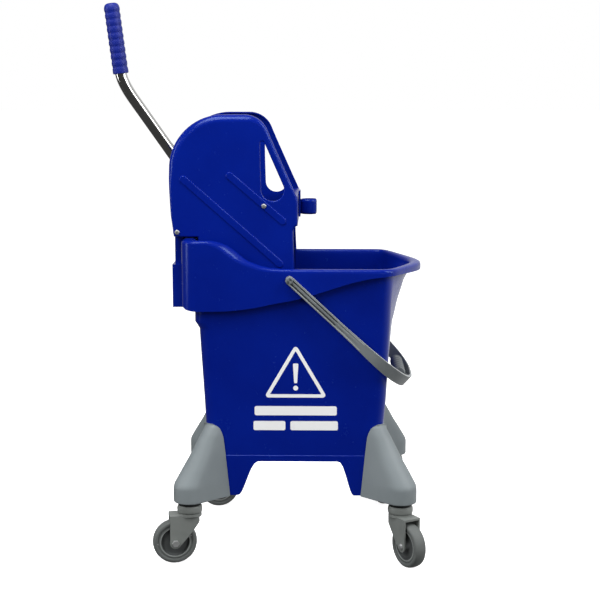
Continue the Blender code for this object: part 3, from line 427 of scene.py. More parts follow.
# Edges of the skirt and the rim as (x, height).
SKIRT_LOW = [(-182, 435), (-167, 433), (-138, 433.2), (-110, 434), (-70, 439), (-36, 446), (-2, 452.5), (36, 463),
             (67, 473), (95, 481.5), (129, 489), (155, 492)]
RIM_TOP = [(-148, 551), (-139, 548.2), (-130, 544.5), (-115, 534), (-98, 522), (-77, 513), (-57, 507.5), (-39, 505),
           (-15, 504.2), (0, 504)]
NOSE = 40.0
BODY_ROUND, SKIRT_ROUND = (24.0, 22.0), (27.0, 34.0)
SKIRT_MID_X, SKIRT_CORNER_X = 217.0, 177.0
SEAM_Z, SEAM_STEP = 182.0, 0.9
LEVELS = (SEAM_Z + 0.7, 200, 225, 250, 276, 300, 329, 365, 390, 398, 400, 402, 406, 410, 412, 416, 428, 440, 455, 470)
PLAN_TOP = 500


def nose(y, mid, corner, reach):
    """Front wall x at y: a blunt V between the middle and the corners."""
    f = (hypot(y, NOSE) - NOSE) / (hypot(reach, NOSE) - NOSE)
    return mid + (corner - mid) * f


def half_plan(xr, rr, w, mid, corner, rf):
    """Columns from the middle of the rear to the middle of the front, on the right (-Y) side.
    xr, w: the rear and side walls; rr, rf: the rear and front corner rounds; mid, corner: the front wall's x."""
    pts = [(xr, -(w - rr) * t) for t in REAR_F]
    pts += [(xr + rr - rr * cos(a), -(w - rr) - rr * sin(a))
            for a in (radians(v) for v in CORNER_DEG)]
    reach = w - rf
    x_end = nose(reach, mid, corner, reach)
    xs, bow = x_end - 1.1 * rf, 0.62 * rf
    pts += [(xr + rr + (xs - xr - rr) * f, -w) for f in SIDE]
    slope = (nose(reach - 2, mid, corner, reach) - x_end) / 2
    p0, p3 = Vector((xs, -w)), Vector((x_end, -reach))
    p1, p2 = p0 + Vector((bow, 0)), p3 - Vector((slope, 1)).normalized() * bow
    for t in FRONT_T:
        u = 1 - t
        q = p0 * u ** 3 + p1 * 3 * u * u * t + p2 * 3 * u * t * t + p3 * t ** 3
        pts.append((q.x, q.y))
    pts += [(nose(reach * f, mid, corner, reach), -reach * f) for f in FRONT_F]
    pts.append((mid, 0.0))
    return pts


def full_plan(half):
    return half + [(x, -y) for x, y in reversed(half[1:-1])]


PLANS = {}


def body_plan(z, grow=0.0):
    key = (round(z, 1), grow)
    if key not in PLANS:
        rear, front = BODY_ROUND
        PLANS[key] = full_plan(half_plan(
            lerp_table(REAR_X, z) - grow, rear + grow, lerp_table(HALF_Y, z) + grow,
            flow_table(FRONT_MID_X, z) + grow, flow_table(FRONT_CORNER_X, z) + grow, front + grow))
    return PLANS[key]


def skirt_plan(shrink=0.0):
    rear, front = SKIRT_ROUND
    return full_plan(half_plan(COLLAR_X + shrink, rear - shrink, RIM_HALF - shrink, SKIRT_MID_X - shrink,
                               SKIRT_CORNER_X - shrink, front - shrink))


ARCH_REAR, ARCH_FRONT, ARCH_ENDS = (60.0, 98.0), (71.0, 100.0), (66.0, 90.0)


def leg_low(x, y):
    """Lower edge of the wall: four legs with an arch between them."""
    if abs(y) > 120 and abs(x) < 130:
        t = smooth(abs(x), *(ARCH_REAR if x < 0 else ARCH_FRONT))
    else:
        t = smooth(abs(y), *ARCH_ENDS)
    return BELLY_Z + (LEG_Z - BELLY_Z) * t ** 1.3


def rim_top(x):
    if x > 60:
        return 504.0 - 2.0 * smooth(x, 150, 215)
    return flow_table(RIM_TOP, x)


def skirt_low(x):
    if x < -181:
        return 436.0 + 5.0 * smooth(-x, 181, 190)
    if x > 155:
        return 492.0 - 4.0 * smooth(x, 165, 216)
    return flow_table(SKIRT_LOW, x)


def bucket_surface():
    """Gap-side sheet of the bucket as rows of columns, from the leg edge up, under the rim and down the skirt."""
    outer, inner_top = skirt_plan(WALL), body_plan(PLAN_TOP)
    tops = [rim_top(x) - WALL for x, _ in outer]
    lows = [leg_low(x, y) for x, y in body_plan(LEG_Z)]

    def wall_row(heights, grow=0.0):
        return [(*body_plan(min(z, PLAN_TOP), grow)[i], z) for i, z in enumerate(heights)]

    rows = [wall_row([low + (SEAM_Z - low) * f for low in lows], SEAM_STEP) for f in (0.0, 0.3, 0.6, 0.9, 1.0)]
    rows += [[(x, y, level) for x, y in body_plan(level)] for level in LEVELS]
    rows += [wall_row([LEVELS[-1] + (top - 5.0 - LEVELS[-1]) * f for top in tops]) for f in (0.25, 0.5, 0.75, 0.92)]
    steps = 8
    for k in range(steps + 1):
        a = pi * k / steps
        f, rise = (1 - cos(a)) / 2, RIM_ROUND * sin(a) ** 0.6
        rows.append([(xi + (x - xi) * f, yi + (y - yi) * f, top - RIM_ROUND + rise)
                     for (x, y), (xi, yi), top in zip(outer, inner_top, tops)])
    for f in (0.25, 0.5, 0.75, 1.0):
        rows.append([(x, y, top - RIM_ROUND + (skirt_low(x) - top + RIM_ROUND) * f)
                     for (x, y), top in zip(outer, tops)])
    return rows


def bucket_shell():
    rows = bucket_surface()
    shell = loft("bucket", [p for row in rows for p in row], grid_faces(len(rows), len(rows[0])))
    solidify(shell, WALL)
    floor = stack("floor", [[(x, y, z) for x, y in body_plan(z, -1.2)] for z in (FLOOR_Z - 4.5, FLOOR_Z)])
    return rounded(combine(shell, [floor]), 0.8, 2, 50.0, False)


def wall_block(name, z0, z1, grow):
    """The filled body of the bucket between two heights, a little larger than its wall."""
    zs = sorted({z0, z1} | {z for z, _ in HALF_Y + REAR_X if z0 < z < z1})
    return stack(name, [[(x, y, z) for x, y in body_plan(max(z, LEG_Z), grow)] for z in zs])


def ray(border, centre, angle):
    """Where a ray from a centre inside a convex loop leaves it."""
    dx, dy = cos(angle), sin(angle)
    best = 0.0
    for (x0, y0), (x1, y1) in zip(border, border[1:] + border[:1]):
        ex, ey = x1 - x0, y1 - y0
        det = dx * ey - dy * ex
        if abs(det) > 1e-12:
            t = ((x0 - centre[0]) * ey - (y0 - centre[1]) * ex) / det
            s = ((x0 - centre[0]) * dy - (y0 - centre[1]) * dx) / det
            if -1e-9 <= s <= 1 + 1e-9:
                best = max(best, t)
    return (centre[0] + dx * best, centre[1] + dy * best)


# Rows of a housing: height, how far its nose has moved in, the nose's radius and how far the edges have.
HOUSING_ROWS = ((111, 0.0, 25.6, 0.0), (111.3, 0.0, 26.3, 0.0), (112.0, 0.0, 26.85, 0.0), (113.2, 0.0, 27.0, 0.0),
                (124, 0.0, 27.0, 0.0), (134, 0.0, 27.0, 0.0), (137, 0.005, 26.95, 0.0), (140, 0.016, 26.8, 0.0),
                (144, 0.045, 26.3, 0.0), (156, 0.17, 25.0, 0.0), (169, 0.31, 23.5, 0.0), (182, 0.455, 22.0, 0.0),
                (198, 0.61, 20.3, 0.1), (215, 0.78, 18.5, 0.5), (223, 0.855, 17.3, 2.2), (230, 0.925, 16.0, 5.0),
                (233, 0.947, 15.0, 8.2), (235, 0.965, 14.0, 12.0), (236.3, 0.971, 12.6, 14.6),
                (237, 0.975, 11.0, 17.0))
HOUSING_X, HOUSING_Y, HOUSING_WIDEN = 111.5, 95.0, 10.5 / 108.0


def housing_sections(steps):
    """Loops of a corner housing, for the corner at +X, +Y: a round nose joined to the two walls."""
    sections = []
    for z, shift, radius, round_in in HOUSING_ROWS:
        cx = PIVOT_X - 43.0 * shift
        cy = PIVOT_Y - 39.0 * shift
        wall_x, wall_y = -lerp_table(REAR_X, z), lerp_table(HALF_Y, z)
        edge = HOUSING_X + HOUSING_WIDEN * (z - LEG_Z) + round_in
        side = HOUSING_Y + HOUSING_WIDEN * (z - LEG_Z) + round_in * 0.6
        first, last = (wall_x + 2.6, side), (edge, wall_y + 2.6)
        centre = (wall_x - 9.0, wall_y - 9.0)
        points = arc(cx, cy, radius, 0, 360, 144)[:-1] + [first, last, centre]
        border = [points[k] for k in geometry.convex_hull_2d(points)]
        start = atan2(first[1] - centre[1], first[0] - centre[0])
        end = atan2(last[1] - centre[1], last[0] - centre[0])
        loop = [first]
        loop += [ray(border, centre, start + (end - start) * k / steps) for k in range(1, steps)]
        loop += [last, (edge, wall_y - 12), (wall_x - 12, wall_y - 12), (wall_x - 12, side)]
        sections.append([(x, y, z) for x, y in loop])
    return sections


def corner_housing(sx, sy):
    solid = stack("housing", [[(sx * x, sy * y, z) for x, y, z in loop] for loop in housing_sections(56)])
    return rounded(cut(solid, [wall_block("wall_cut", 60, 300, 1.2)]), 0.7, 2, 40.0, False)


# ---- casters
def collar(sx, sy):
    """Swivel bearing between a housing and its fork."""
    profile = [(0, 92.3), (19.4, 92.3), (20.3, 92.9), (20.9, 94.0), (21.3, 96.5), (21.4, 99), (21.2, 101.2),
               (20.7, 102.9), (19.8, 104.3), (18.6, 105.0), (17.9, 105.6), (17.6, 107), (17.6, 110.7), (0, 110.7)]
    return turned("collar", profile, (sx * PIVOT_X, sy * PIVOT_Y, 0), steps=64)


def caster():
    """Fork and wheel in the caster's own frame: swivel axis at the origin, wheel trailing along +X."""
    wheel = (TRAIL, 0, WHEEL_R)
    outline = [(-19.8, 84.9), (-19.8, 81.6), (-18.9, 79.0), (-6.0, 61.0), (4.6, 47.5), (16.2, 34.4)]
    outline += arc(TRAIL, WHEEL_R, 9.6, 205, 355, 12)[1:] + [(35.0, 41), (35.0, 84.9)]
    fork = plate("fork", outline, -16.0, 16.0)
    combine(fork, [turned("cap", [(0, 82.4), (20.0, 82.4), (20.0, 87.3), (0, 87.3)], steps=64)])
    outside = cut(box("outside", (-40, -30, 10), (0, 30, 100)), [cylinder("back", 20.2, 0, 110, steps=64)])
    cut(fork, [outside, box("channel", (-40, -13.4, 20), (50, 13.4, 81.4)),
               cylinder("bore", 4.0, -20, 20, wheel, "Y")])
    rounded(fork, 1.0, 3, 38.0)
    hub = both_ends([(4.0, -12.4), (7.4, -12.4), (8.0, -11.8), (8.6, -5.2), (9.4, -4.5), (21.4, -3.4), (22.6, -4.2),
                     (23.4, -7.8), (24.0, -8.9), (25.2, -9.4), (26.0, -9.1), (27.9, -9.1), (28.8, -8.6)])
    rim = [(29.1, -9.3), (29.6, -9.9), (31.0, -10.5), (33.0, -10.5), (34.6, -10.0), (35.8, -8.9), (36.6, -7.2),
           (37.1, -5.0), (37.4, -2.4)]
    tyre = rim + [(WHEEL_R, 0)] + [(r, -y) for r, y in reversed(rim)]
    bolt = [(0, -18.6), (2.0, -18.6), (3.6, -18.4), (4.6, -17.9), (5.1, -17.2), (5.2, -16.3), (3.6, -16.3),
            (3.6, 16.2), (0, 16.2)]
    head = cross_recess(turned("bolt", bolt, wheel, "Y", 32), (5.2, 1.6, 1.0), (wheel[0], -18.4, wheel[2]))
    nut = turned("nut", [(0, 16.5), (6.2, 16.5), (6.2, 19.4), (5.6, 19.8), (0, 19.8)], wheel, "Y", 6)
    fixed = {"fork": fork, "axle_bolt": head, "axle_nut": rounded(nut, 0.35, 2)}
    rolling = {"wheel_hub": turned("hub", hub, wheel, "Y", 72), "wheel_tyre": turned("tyre", tyre, wheel, "Y", 96)}
    return fixed, rolling


def hub_ring(point):
    """How many of the lip's two radii a point of the hub, in the caster's frame, lies outside: 1 is the ring of painted
    highlight on the lip.
    """
    radius = hypot(point.x / MM - TRAIL, point.z / MM - WHEEL_R)
    return sum(radius > limit for limit in LIP_R)


# ---- bail
def bail_point(u, y, n):
    """A point in the bail's own axes: along the arms, across, and square to both."""
    a = radians(BAIL_ANGLE)
    return (BAIL_X + cos(a) * u - sin(a) * n, y, BAIL_Z + sin(a) * u + cos(a) * n)


GROOVE_END = (105.0, 160.0)
# Shares of the strap's half width: the groove gets painted shade, and the ridges and the edges beyond EDGE_SHARE get
# painted highlight.
GROOVE_SHARE, RIDGE_SHARE, EDGE_SHARE = (0.29, 0.60), (0.66, 0.80), 0.955
STRAP_T = 2.5


def strap_half(u):
    """Half width of the strap at a distance from the eyes."""
    return 7.0 + 3.5 * smooth(u, 110, 250)


def bail_share(point):
    """Where a point in the row frame lies on the strap: its distance from the eyes, and its share of the half width."""
    a = radians(BAIL_ANGLE)
    dx, dz = point.x / MM - OFFSET_X - BAIL_X, point.z / MM + DROP - BAIL_Z
    u = cos(a) * dx + sin(a) * dz
    return u, abs(cos(a) * dz - sin(a) * dx) / strap_half(u)


def bail_light_paint(point):
    """0 for plain, 1 for painted shade in the groove and 2 for painted highlight on the edges and ridges."""
    reach, share = bail_share(point)
    if GROOVE_SHARE[0] < share < GROOVE_SHARE[1] and reach < GROOVE_END[0]:
        return 1
    ridge = RIDGE_SHARE[0] < share < RIDGE_SHARE[1] and reach < GROOVE_END[1]
    return 2 if share > EDGE_SHARE or ridge else 0


def bail_path(arm_steps, end_steps):
    """Half path (u, y), from the eye at -Y to the middle of the crossbar."""
    straight, power = 165.0, 2 / 2.6
    pts = [(straight * k / arm_steps, -BAIL_HALF) for k in range(arm_steps)]
    for k in range(end_steps + 1):
        a = 0.5 * pi * k / end_steps
        u = straight + (BAIL_REACH - straight) * sin(a) ** power
        pts.append((u, -BAIL_HALF * cos(a) ** power))
    return pts


def bail_frame():
    """Ribbed strap bent to a U, wider at the crossbar, with an eye at each end."""
    half = bail_path(14, 40)
    path = half + [(u, -y) for u, y in reversed(half[:-1])]
    side = [(2.0, 1.0), (STRAP_T, 0.95), (STRAP_T, 0.80), (STRAP_T, 0.66), (2.2, 0.6), (1.2, 0.55), (1.0, 0.47),
            (1.0, 0.36), (1.2, 0.29), (2.2, 0.23), (STRAP_T, 0.17)]
    section = both_ends([(-2.1, -1.0), (-STRAP_T, -0.94)]) + both_ends(side)
    rows = []
    for i, (u, y) in enumerate(path):
        a, b = path[max(i - 1, 0)], path[min(i + 1, len(path) - 1)]
        tangent = Vector((b[0] - a[0], b[1] - a[1])).normalized()
        out = Vector((tangent.y, -tangent.x))
        rows.append([])
        for t, w in section:
            if t > 0 and abs(w) < 0.62:
                t += (STRAP_T - t) * smooth(u, *GROOVE_END)
            rows[-1].append(bail_point(u + out.x * t, y + out.y * t, w * strap_half(u)))
    strap = stack("bail", rows)
    for s in (-1, 1):
        eye = [(0, 146.5), (6.3, 146.5), (7.0, 147.1), (7.0, 150.9), (6.3, 151.5), (0, 151.5)]
        combine(strap, [turned("eye", [(r, s * y) for r, y in eye], BAIL_PIVOT, "Y", 40)])
        low, high = sorted((s * 140, s * 158))
        cut(strap, [cylinder("hole", 4.3, low, high, BAIL_PIVOT, "Y")])
    return strap


def bail_grip():
    """Ribbed finger grip inside the crossbar, joined to it by webs."""
    profile = [(0, -56.0), (8.4, -56.0), (9.4, -55.2)]
    ridge = ((9.9, -2.6), (10.8, -1.4), (11.0, 0.0), (10.8, 1.4), (9.9, 2.6))
    for k in range(13):
        profile += [(r, -54.0 + 9.0 * k + h) for r, h in (ridge if k % 2 else ((9.6, 0.0),))]
    profile += [(9.4, 55.2), (8.4, 56.0), (0, 56.0)]
    grip = turned("grip", profile, bail_point(GRIP_U, 0, 0), "Y", 40)
    webs = []
    for y, reach in ((-50, 272.3), (-25, 274.6), (0, 275.2), (25, 274.6), (50, 272.3)):
        corners = [bail_point(u, 0, w) for u, w in ((GRIP_U, -3.5), (reach, -3.5), (reach, 3.5), (GRIP_U, 3.5))]
        webs.append(plate("web", [(x, z) for x, _, z in corners], y - 2, y + 2))
    return combine(grip, webs)


def bail_stud(s):
    """Headed stud that the bail's eye turns on."""
    profile = [(0, 145.9), (3.9, 145.9), (3.9, 151.9), (5.7, 151.9), (6.0, 152.3), (5.7, 152.9), (4.6, 153.5),
               (2.6, 153.6), (0, 153.6)]
    return turned("stud", [(r, s * y) for r, y in profile], BAIL_PIVOT, "Y", 40)


# ---- wringer
def cheek_outline(step):
    """Outline (x, z, edge radius) from the lower rear corner up over the top and down the front."""
    rear_foot = [(-163.5, 553.0), (-176, 553.0), (-190, 553.0), (-198, 553.0)]
    rear = [(-202.4, 553.7, 2.8), (-204.8, 555.3, 3.3), (-205.8, 558.5, 3.8), (-206.2, 563, 4.5), (-207.7, 575, 4.8),
            (-209.6, 588, 5), (-210.8, 608, 5.5), (-211.8, 629, 6), (-212.3, 640, 7.5), (-212.6, 650, 9)]
    top = arc(-121, 665.5, 91.5, 180, 90, 2 * step) + [(-110, 757.0), (-100, 757.0)]
    corner = [(x, z, 13.0 - 7.0 * k / step) for k, (x, z) in enumerate(arc(-85, 715.5, 41.5, 90, 26, step))]
    slope = [(-41, 717.5, 6), (-34.0, 701.5, 6), (-27, 685.7, 6), (-20, 670, 6), (-14, 656.5, 5.8), (-8, 643, 5.5)]
    front = [(-3.6, 633.5), (0.0, 625.5), (2.1, 620.5), (3.4, 616), (4.0, 608), (4.0, 600), (4.0, 592), (4.0, 579)]
    below = [(3.7, 575.6), (2.4, 572.6), (0.5, 570.4), (-1.4, 568.4), (-2.8, 566.2), (-3.6, 563.4), (-3.9, 558),
             (-3.6, 545), (-3.0, 530), (-2.2, 513), (-1.5, 497), (-1.4, 483), (-1.4, 470)]
    bottom = arc(AXLE_X, AXLE_Z, 198.0, -43.5, -91.5, 3 * step)
    back = [(-154, 391.2), (-155, 393), (-155.5, 396), (-155.5, 410), (-155.5, 424), (-157.5, 427.6), (-163.5, 440),
            (-163.5, 460), (-163.5, 480), (-163.5, 512), (-163.5, 545)]

    def edged(points, radius):
        return [(x, z, radius) for x, z in points]

    return (edged(rear_foot, 2.5) + rear + edged(top, 13.0) + corner + slope + edged(front, 4.5) + edged(below, 4.0)
            + edged(bottom, 3.5) + edged(back, 2.5))


def drop_loop(grow, step):
    """Tear-drop hand hole, clockwise."""
    pts = arc(-38.3, 632.5, 19.2 + grow, 15, -180, 2 * step)
    pts += [(-58.0 - grow, 653), (-58.6 - grow, 675), (-58.8 - grow, 690), (-59.0 - grow, 706)]
    return pts + arc(-55.2, 709.5, 3.6 + grow, 170, 27, 8)


def capsule(x0, z0, x1, z1, r, step):
    """Outline of a bar with round ends."""
    a = degrees(atan2(z1 - z0, x1 - x0))
    return arc(x1, z1, r, a - 90, a + 90, step) + arc(x0, z0, r, a + 90, a + 270, step)


def inside(loop, x, z):
    """Whether a point lies in a closed loop."""
    found = False
    for (x0, z0), (x1, z1) in zip(loop, loop[1:] + loop[:1]):
        if (z0 > z) != (z1 > z) and x < (x1 - x0) * (z - z0) / (z1 - z0) + x0:
            found = not found
    return found


def filled(outer, holes, lines=()):
    """Triangles between an outer loop and holes, with the lines as edges too. Points are numbered in that order."""
    coords, edges = [], []
    for loop in [outer, *holes, *lines]:
        start = len(coords)
        coords += [Vector(p) for p in loop]
        edges += [(start + i, start + (i + 1) % len(loop)) for i in range(len(loop))]
    verts, _, tris, *_ = geometry.delaunay_2d_cdt(coords, edges, [], 0, 1e-6)
    order = [min(range(len(coords)), key=lambda i, v=v: (coords[i] - v).length_squared) for v in verts]
    out = []
    for tri in tris:
        c = sum((verts[k] for k in tri), Vector((0, 0))) / 3
        if inside(outer, c.x, c.y) and not any(inside(hole, c.x, c.y) for hole in holes):
            out.append([order[k] for k in tri])
    return out


def inset(outline, distances):
    """Each point moved inwards along the mean normal by its own distance (outline runs clockwise in x, z)."""
    n, out = len(outline), []
    for i in range(n):
        a, p, b = outline[i - 1], outline[i], outline[(i + 1) % n]
        e1 = Vector((p[0] - a[0], p[1] - a[1])).normalized()
        e2 = Vector((b[0] - p[0], b[1] - p[1])).normalized()
        normal = Vector((e1.y, -e1.x)) + Vector((e2.y, -e2.x))
        normal.normalize()
        scale = 1 / max(normal.dot(Vector((e1.y, -e1.x))), 0.5)
        out.append((p[0] + normal.x * distances[i] * scale, p[1] + normal.y * distances[i] * scale))
    return out


RIBS = ((-187.5, 649.5, -26.5, 507.5), (-110.0, 655.5, -21.5, 579.5))
RIB_SECTION = ((6.5, 0.0), (6.25, 0.4), (5.9, 1.0), (5.4, 1.4), (4.7, 1.55))
HOLE_SECTION = ((2.0, 0.0), (1.1, 0.25), (0.4, 0.8), (0.0, 1.6), (0.0, CHEEK_T))


def cheek(sign):
    """One side of the wringer: a dished plate with a rolled edge, a tear-drop hole and two raised ribs."""
    step, inner_inset = 9, CHEEK_T * 0.8
    outline = [(x, z) for x, z, _ in cheek_outline(step)]
    radii = [r for _, _, r in cheek_outline(step)]
    n = len(outline)
    verts = []

    def put(loop, y):
        """Adds a loop at a distance, or distances, from the middle and gives its point numbers."""
        start = len(verts)
        verts.extend((x, sign * d, z) for (x, z), d in zip(loop, y if isinstance(y, list) else [y] * len(loop)))
        return list(range(start, len(verts)))

    rings = [put(outline, [CHEEK_Y - r - 1.0 for r in radii])]
    for a in (0, 12, 24, 36, 48, 60, 70, 80, 90):
        s, c = sin(radians(a)), cos(radians(a))
        outer = inset(outline, [r * (1 - c) for r in radii])
        rings.append(put(outer, [CHEEK_Y - r * (1 - s) for r in radii]))
    faces = grid_faces(len(rings), n)
    holes = [(drop_loop(grow, step), CHEEK_Y - depth) for grow, depth in HOLE_SECTION]
    caps = [(capsule(*rib, radius, 10), CHEEK_Y + height) for rib in RIBS for radius, height in RIB_SECTION]
    above = put(*holes[0])
    index = rings[-1] + above + [k for cap in caps for k in put(*cap)]
    tris = filled(outer, [holes[0][0]], [loop for loop, _ in caps])
    faces += [tuple(index[k] for k in t) for t in tris]
    for hole in holes[1:]:
        below = put(*hole)
        faces += band(above, below)
        above = below
    inner_r = [max(r - CHEEK_T, 0.6) for r in radii]
    backs = []
    for a in (90, 67, 45, 22):
        s, c = sin(radians(a)), cos(radians(a))
        loop = inset(outline, [inner_inset + r * (1 - c) for r in inner_r])
        backs.append((loop, put(loop, [CHEEK_Y - CHEEK_T - r * (1 - s) for r in inner_r])))
    inner, first = backs[0]
    last = put(inset(outline, [inner_inset] * n), [CHEEK_Y - r - 1.0 for r in radii])
    faces += grid_faces(len(backs) + 1, n, first[0]) + band(rings[0], last)
    index = first + above
    faces += [tuple(index[k] for k in t) for t in filled(inner, [holes[-1][0]])]
    side = loft("cheek", verts, faces)
    collar_ring = [(AXLE_R + 0.6, sign * 84), (16.0, sign * 84), (17.0, sign * 98.2), (AXLE_R + 0.6, sign * 98.2)]
    combine(side, [turned("boss", collar_ring, AXLE, "Y")])
    low, high = sorted((sign * 90, sign * 108))
    return cut(side, [cylinder("bore", 2.9, low, high, (x, 0, z), "Y", 24) for x, z in SCREWS])


def front_grille():
    """Slotted panel between the sides, with a pad for the handle clip and ears for the front screws."""
    panel = box("grille", (-10.6, -94.2, 452), (-7.2, 94.2, 575))
    extra = [box("pad", (-10.6, -94.2, 571), (3.4, 94.2, 621))]
    for s in (-1, 1):
        extra.append(box("tie", (-14, s * 93.4 - 3.2, 572), (-7.5, s * 93.4 + 3.2, 612)))
        extra.append(box("ear", (-62, s * 94.9 - 1.7, 592), (-8, s * 94.9 + 1.7, 610)))
    combine(panel, extra)
    cut(panel, [box("slot", (-20, y - 5.5, 470), (0, y + 5.5, 556)) for y in
                (-84, -63, -42, -21, 0, 21, 42, 63, 84)])
    return rounded(panel, 0.7)


def strainer():
    """Curved floor of the chamber, bent round the axle from a flat grid, with rows of slots."""
    across, along, fine = 13, 10, 3
    start, sweep, width = -92.5, 48.6, 191.2
    work = bmesh.new()
    bmesh.ops.create_grid(work, x_segments=along * fine, y_segments=across, size=0.5)
    slots = []
    for face in work.faces:
        c = face.calc_center_median()
        i, j = int((c.y + 0.5) * across), int((c.x + 0.5) * along)
        if i % 2 == 1 and j in (1, 2, 4, 5, 7, 8):
            slots.append(face)
    bmesh.ops.delete(work, geom=slots, context="FACES")
    for v in work.verts:
        a = radians(start + sweep * (v.co.x + 0.5))
        v.co = Vector((STRAIN_R * cos(a), width * v.co.y, STRAIN_R * sin(a))) * MM
    bmesh.ops.reverse_faces(work, faces=work.faces)
    mesh = bpy.data.meshes.new("strainer")
    work.to_mesh(mesh)
    work.free()
    return rounded(solidify(add("strainer", mesh, AXLE), 3.0), 0.6, 2, 50.0, False)


def rear_hook():
    """Inverted channel that hangs the wringer over the collar of the bucket."""
    hook = box("hook", (-205.6, -90, 552.6), (-164.5, 90, 556.4))
    extra = [box("neck", (-205.6, -72, 500), (-191.2, 72, 555)), box("flap", (-208.8, -90, 432), (-191.2, 90, 505)),
             box("leg", (-164.9, -90, 470), (-161.6, 90, 556.4))]
    extra += [box("ear", (-203.0, s * 91 - 3.0, 553.5), (-170.0, s * 91 + 3.0, 569)) for s in (-1, 1)]
    combine(hook, extra)
    away = [box("groove", (-215, y - 3, 508), (-203.4, y + 3, 549)) for y in (-60, -40, -20, 0, 20, 40, 60)]
    away.append(box("hollow", (-205.4, -86, 420), (-180, 86, 500.5)))
    away.append(cylinder("hole", 4.0, -100, 100, (SCREWS[0][0], 0, SCREWS[0][1]), "Y"))
    return rounded(cut(hook, away), 0.8)


def cheek_screw(place, s):
    """Pan-head screw with a cross recess, seated on the cheek."""
    x, z = SCREWS[0 if place == "rear" else 1]
    seat = CHEEK_Y + (0.4 if place == "rear" else 1.5)
    profile = [(0, 96.9), (2.4, 96.9), (2.4, seat), (4.1, seat), (4.3, seat + 0.3), (4.15, seat + 1.1),
               (3.7, seat + 1.9), (2.9, seat + 2.5), (1.6, seat + 2.9), (0, seat + 3)]
    head = turned("screw", [(r, s * y) for r, y in profile], (x, 0, z), "Y", 40)
    return cross_recess(head, (5.0, 2.0, 0.9), (x, s * (seat + 3.0), z), 0.35)


def return_spring(s):
    """Torsion spring wound round the axle, with one straight leg."""
    turns, per, radius, length = 4, 28, 11.5, 19.0
    coil = []
    for k in range(turns * per + 1):
        a = pi + 2 * pi * k / per
        coil.append((AXLE_X + radius * cos(a), s * (61.0 + length * k / (turns * per)), AXLE_Z + radius * sin(a)))
    x, y, z = coil[0]
    return rod("spring", [(x, y, z - 26), (x, y, z - 8)] + coil, 1.5, 3)


CLAW_X, CLAW_Z, CLAW_OPEN = 22, 596, 35


def handle_clip():
    """Base plate with a C-shaped claw for a mop handle, open to the front."""
    base = box("clip", (3.8, -14, 579), (7.0, 14, 624))
    ring = both_ends([(12.4, 11.6), (12.8, 12.6), (13.5, 13.0), (14.1, 12.6), (14.9, 11.8), (15.5, 10.7), (15.9, 9.4),
                      (16.0, 8.0)])
    claw = turned("claw", ring, (CLAW_X, 0, CLAW_Z), steps=72)
    mouth = plate("mouth", [(CLAW_X, 0)] + arc(CLAW_X, 0, 24.0, -CLAW_OPEN, CLAW_OPEN, 6), 560, 632)
    mouth.rotation_euler = (0.0, 0.0, 0.0)
    mouth.location = (0.0, 0.0, CLAW_Z * MM)
    cut(claw, [mouth])
    return rounded(combine(base, [box("neck", (5, -7, 583.5), (9.4, 7, 608.5)), claw]), 0.6, 2, 50.0)


# ---- press
GRIP_FOOT, GRIP_LEAN = (-302.4, 824.0), radians(7.0)
GRIP_UP = (-sin(GRIP_LEAN), cos(GRIP_LEAN))


def lever_path(steps):
    """Centre line of the lever in x and z: out of the socket, and round the bend to the grip's line."""
    dx, dz = LEVER_DIR
    inset_by, before, after = 21, 36, 17
    start = (AXLE_X + dx * inset_by, AXLE_Z + dz * inset_by)
    t = ((GRIP_FOOT[0] - start[0]) * GRIP_UP[1] - (GRIP_FOOT[1] - start[1]) * GRIP_UP[0]) / (
        dx * GRIP_UP[1] - dz * GRIP_UP[0])
    knee = (start[0] + dx * t, start[1] + dz * t)
    a = (knee[0] - dx * before, knee[1] - dz * before)
    b = (knee[0] + GRIP_UP[0] * after, knee[1] + GRIP_UP[1] * after)
    pts = [start]
    for k in range(steps + 1):
        s = k / steps
        pts.append(tuple(a[i] * (1 - s) ** 2 + 2 * knee[i] * s * (1 - s) + b[i] * s * s for i in (0, 1)))
    return pts


def tilt(direction):
    """Rotation that takes +Z to a direction in the x, z plane."""
    return (0.0, atan2(direction[0], direction[1]), 0.0)


def press_plate():
    """Ribbed plate hung from two hubs on the axle."""
    bottom = AXLE_Z - PLATE_REACH
    flat = box("press", (AXLE_X - 3.5, -90, bottom), (AXLE_X + 0.5, 90, AXLE_Z - 20))
    extra = [box("rib", (AXLE_X, y - 2, bottom), (AXLE_X + 7, y + 2, AXLE_Z - 26)) for y in
             (-81, -54, -27, 0, 27, 54, 81)]
    extra += [box("cross", (AXLE_X - 15.2, -90, AXLE_Z - d - 2), (AXLE_X - 3, 90, AXLE_Z - d + 2)) for d in
              (60, 110, 160)]
    for y in (-47, 47):
        extra.append(box("arm", (AXLE_X - 6, y - 9, AXLE_Z - 30), (AXLE_X + 6, y + 9, AXLE_Z)))
        extra.append(cylinder("hub", 13.0, y - 9.0, y + 9.0, AXLE, "Y", 48))
    combine(flat, extra)
    return rounded(cut(flat, [cylinder("bore", AXLE_R + 0.3, -100, 100, AXLE, "Y", 48)]), 0.6)


def lever_socket():
    """Clamp block on the axle with a sleeve for the tube."""
    turn = tilt(LEVER_DIR)
    block = cylinder("socket", 16.0, -17, 17, AXLE, "Y", 64)
    combine(block, [cylinder("sleeve", 14.2, 5, 62, AXLE, turn, 48)])
    cut(block, [cylinder("hole", TUBE_R + 0.3, 20.6, 80, AXLE, turn, 48),
                cylinder("bore", AXLE_R + 0.3, -30, 30, AXLE, "Y", 48)])
    return rounded(block, 0.8, 3, 50.0)


def socket_bolt(u):
    """Hexagon head on the sleeve, at a distance from the axle."""
    at = (AXLE_X + LEVER_DIR[0] * u, 0, AXLE_Z + LEVER_DIR[1] * u)
    return rounded(turned("hex", [(0, -18.4), (4.7, -18.4), (5.2, -18.0), (5.2, -14.6), (0, -14.6)], at, "Y", 6), 0.3)


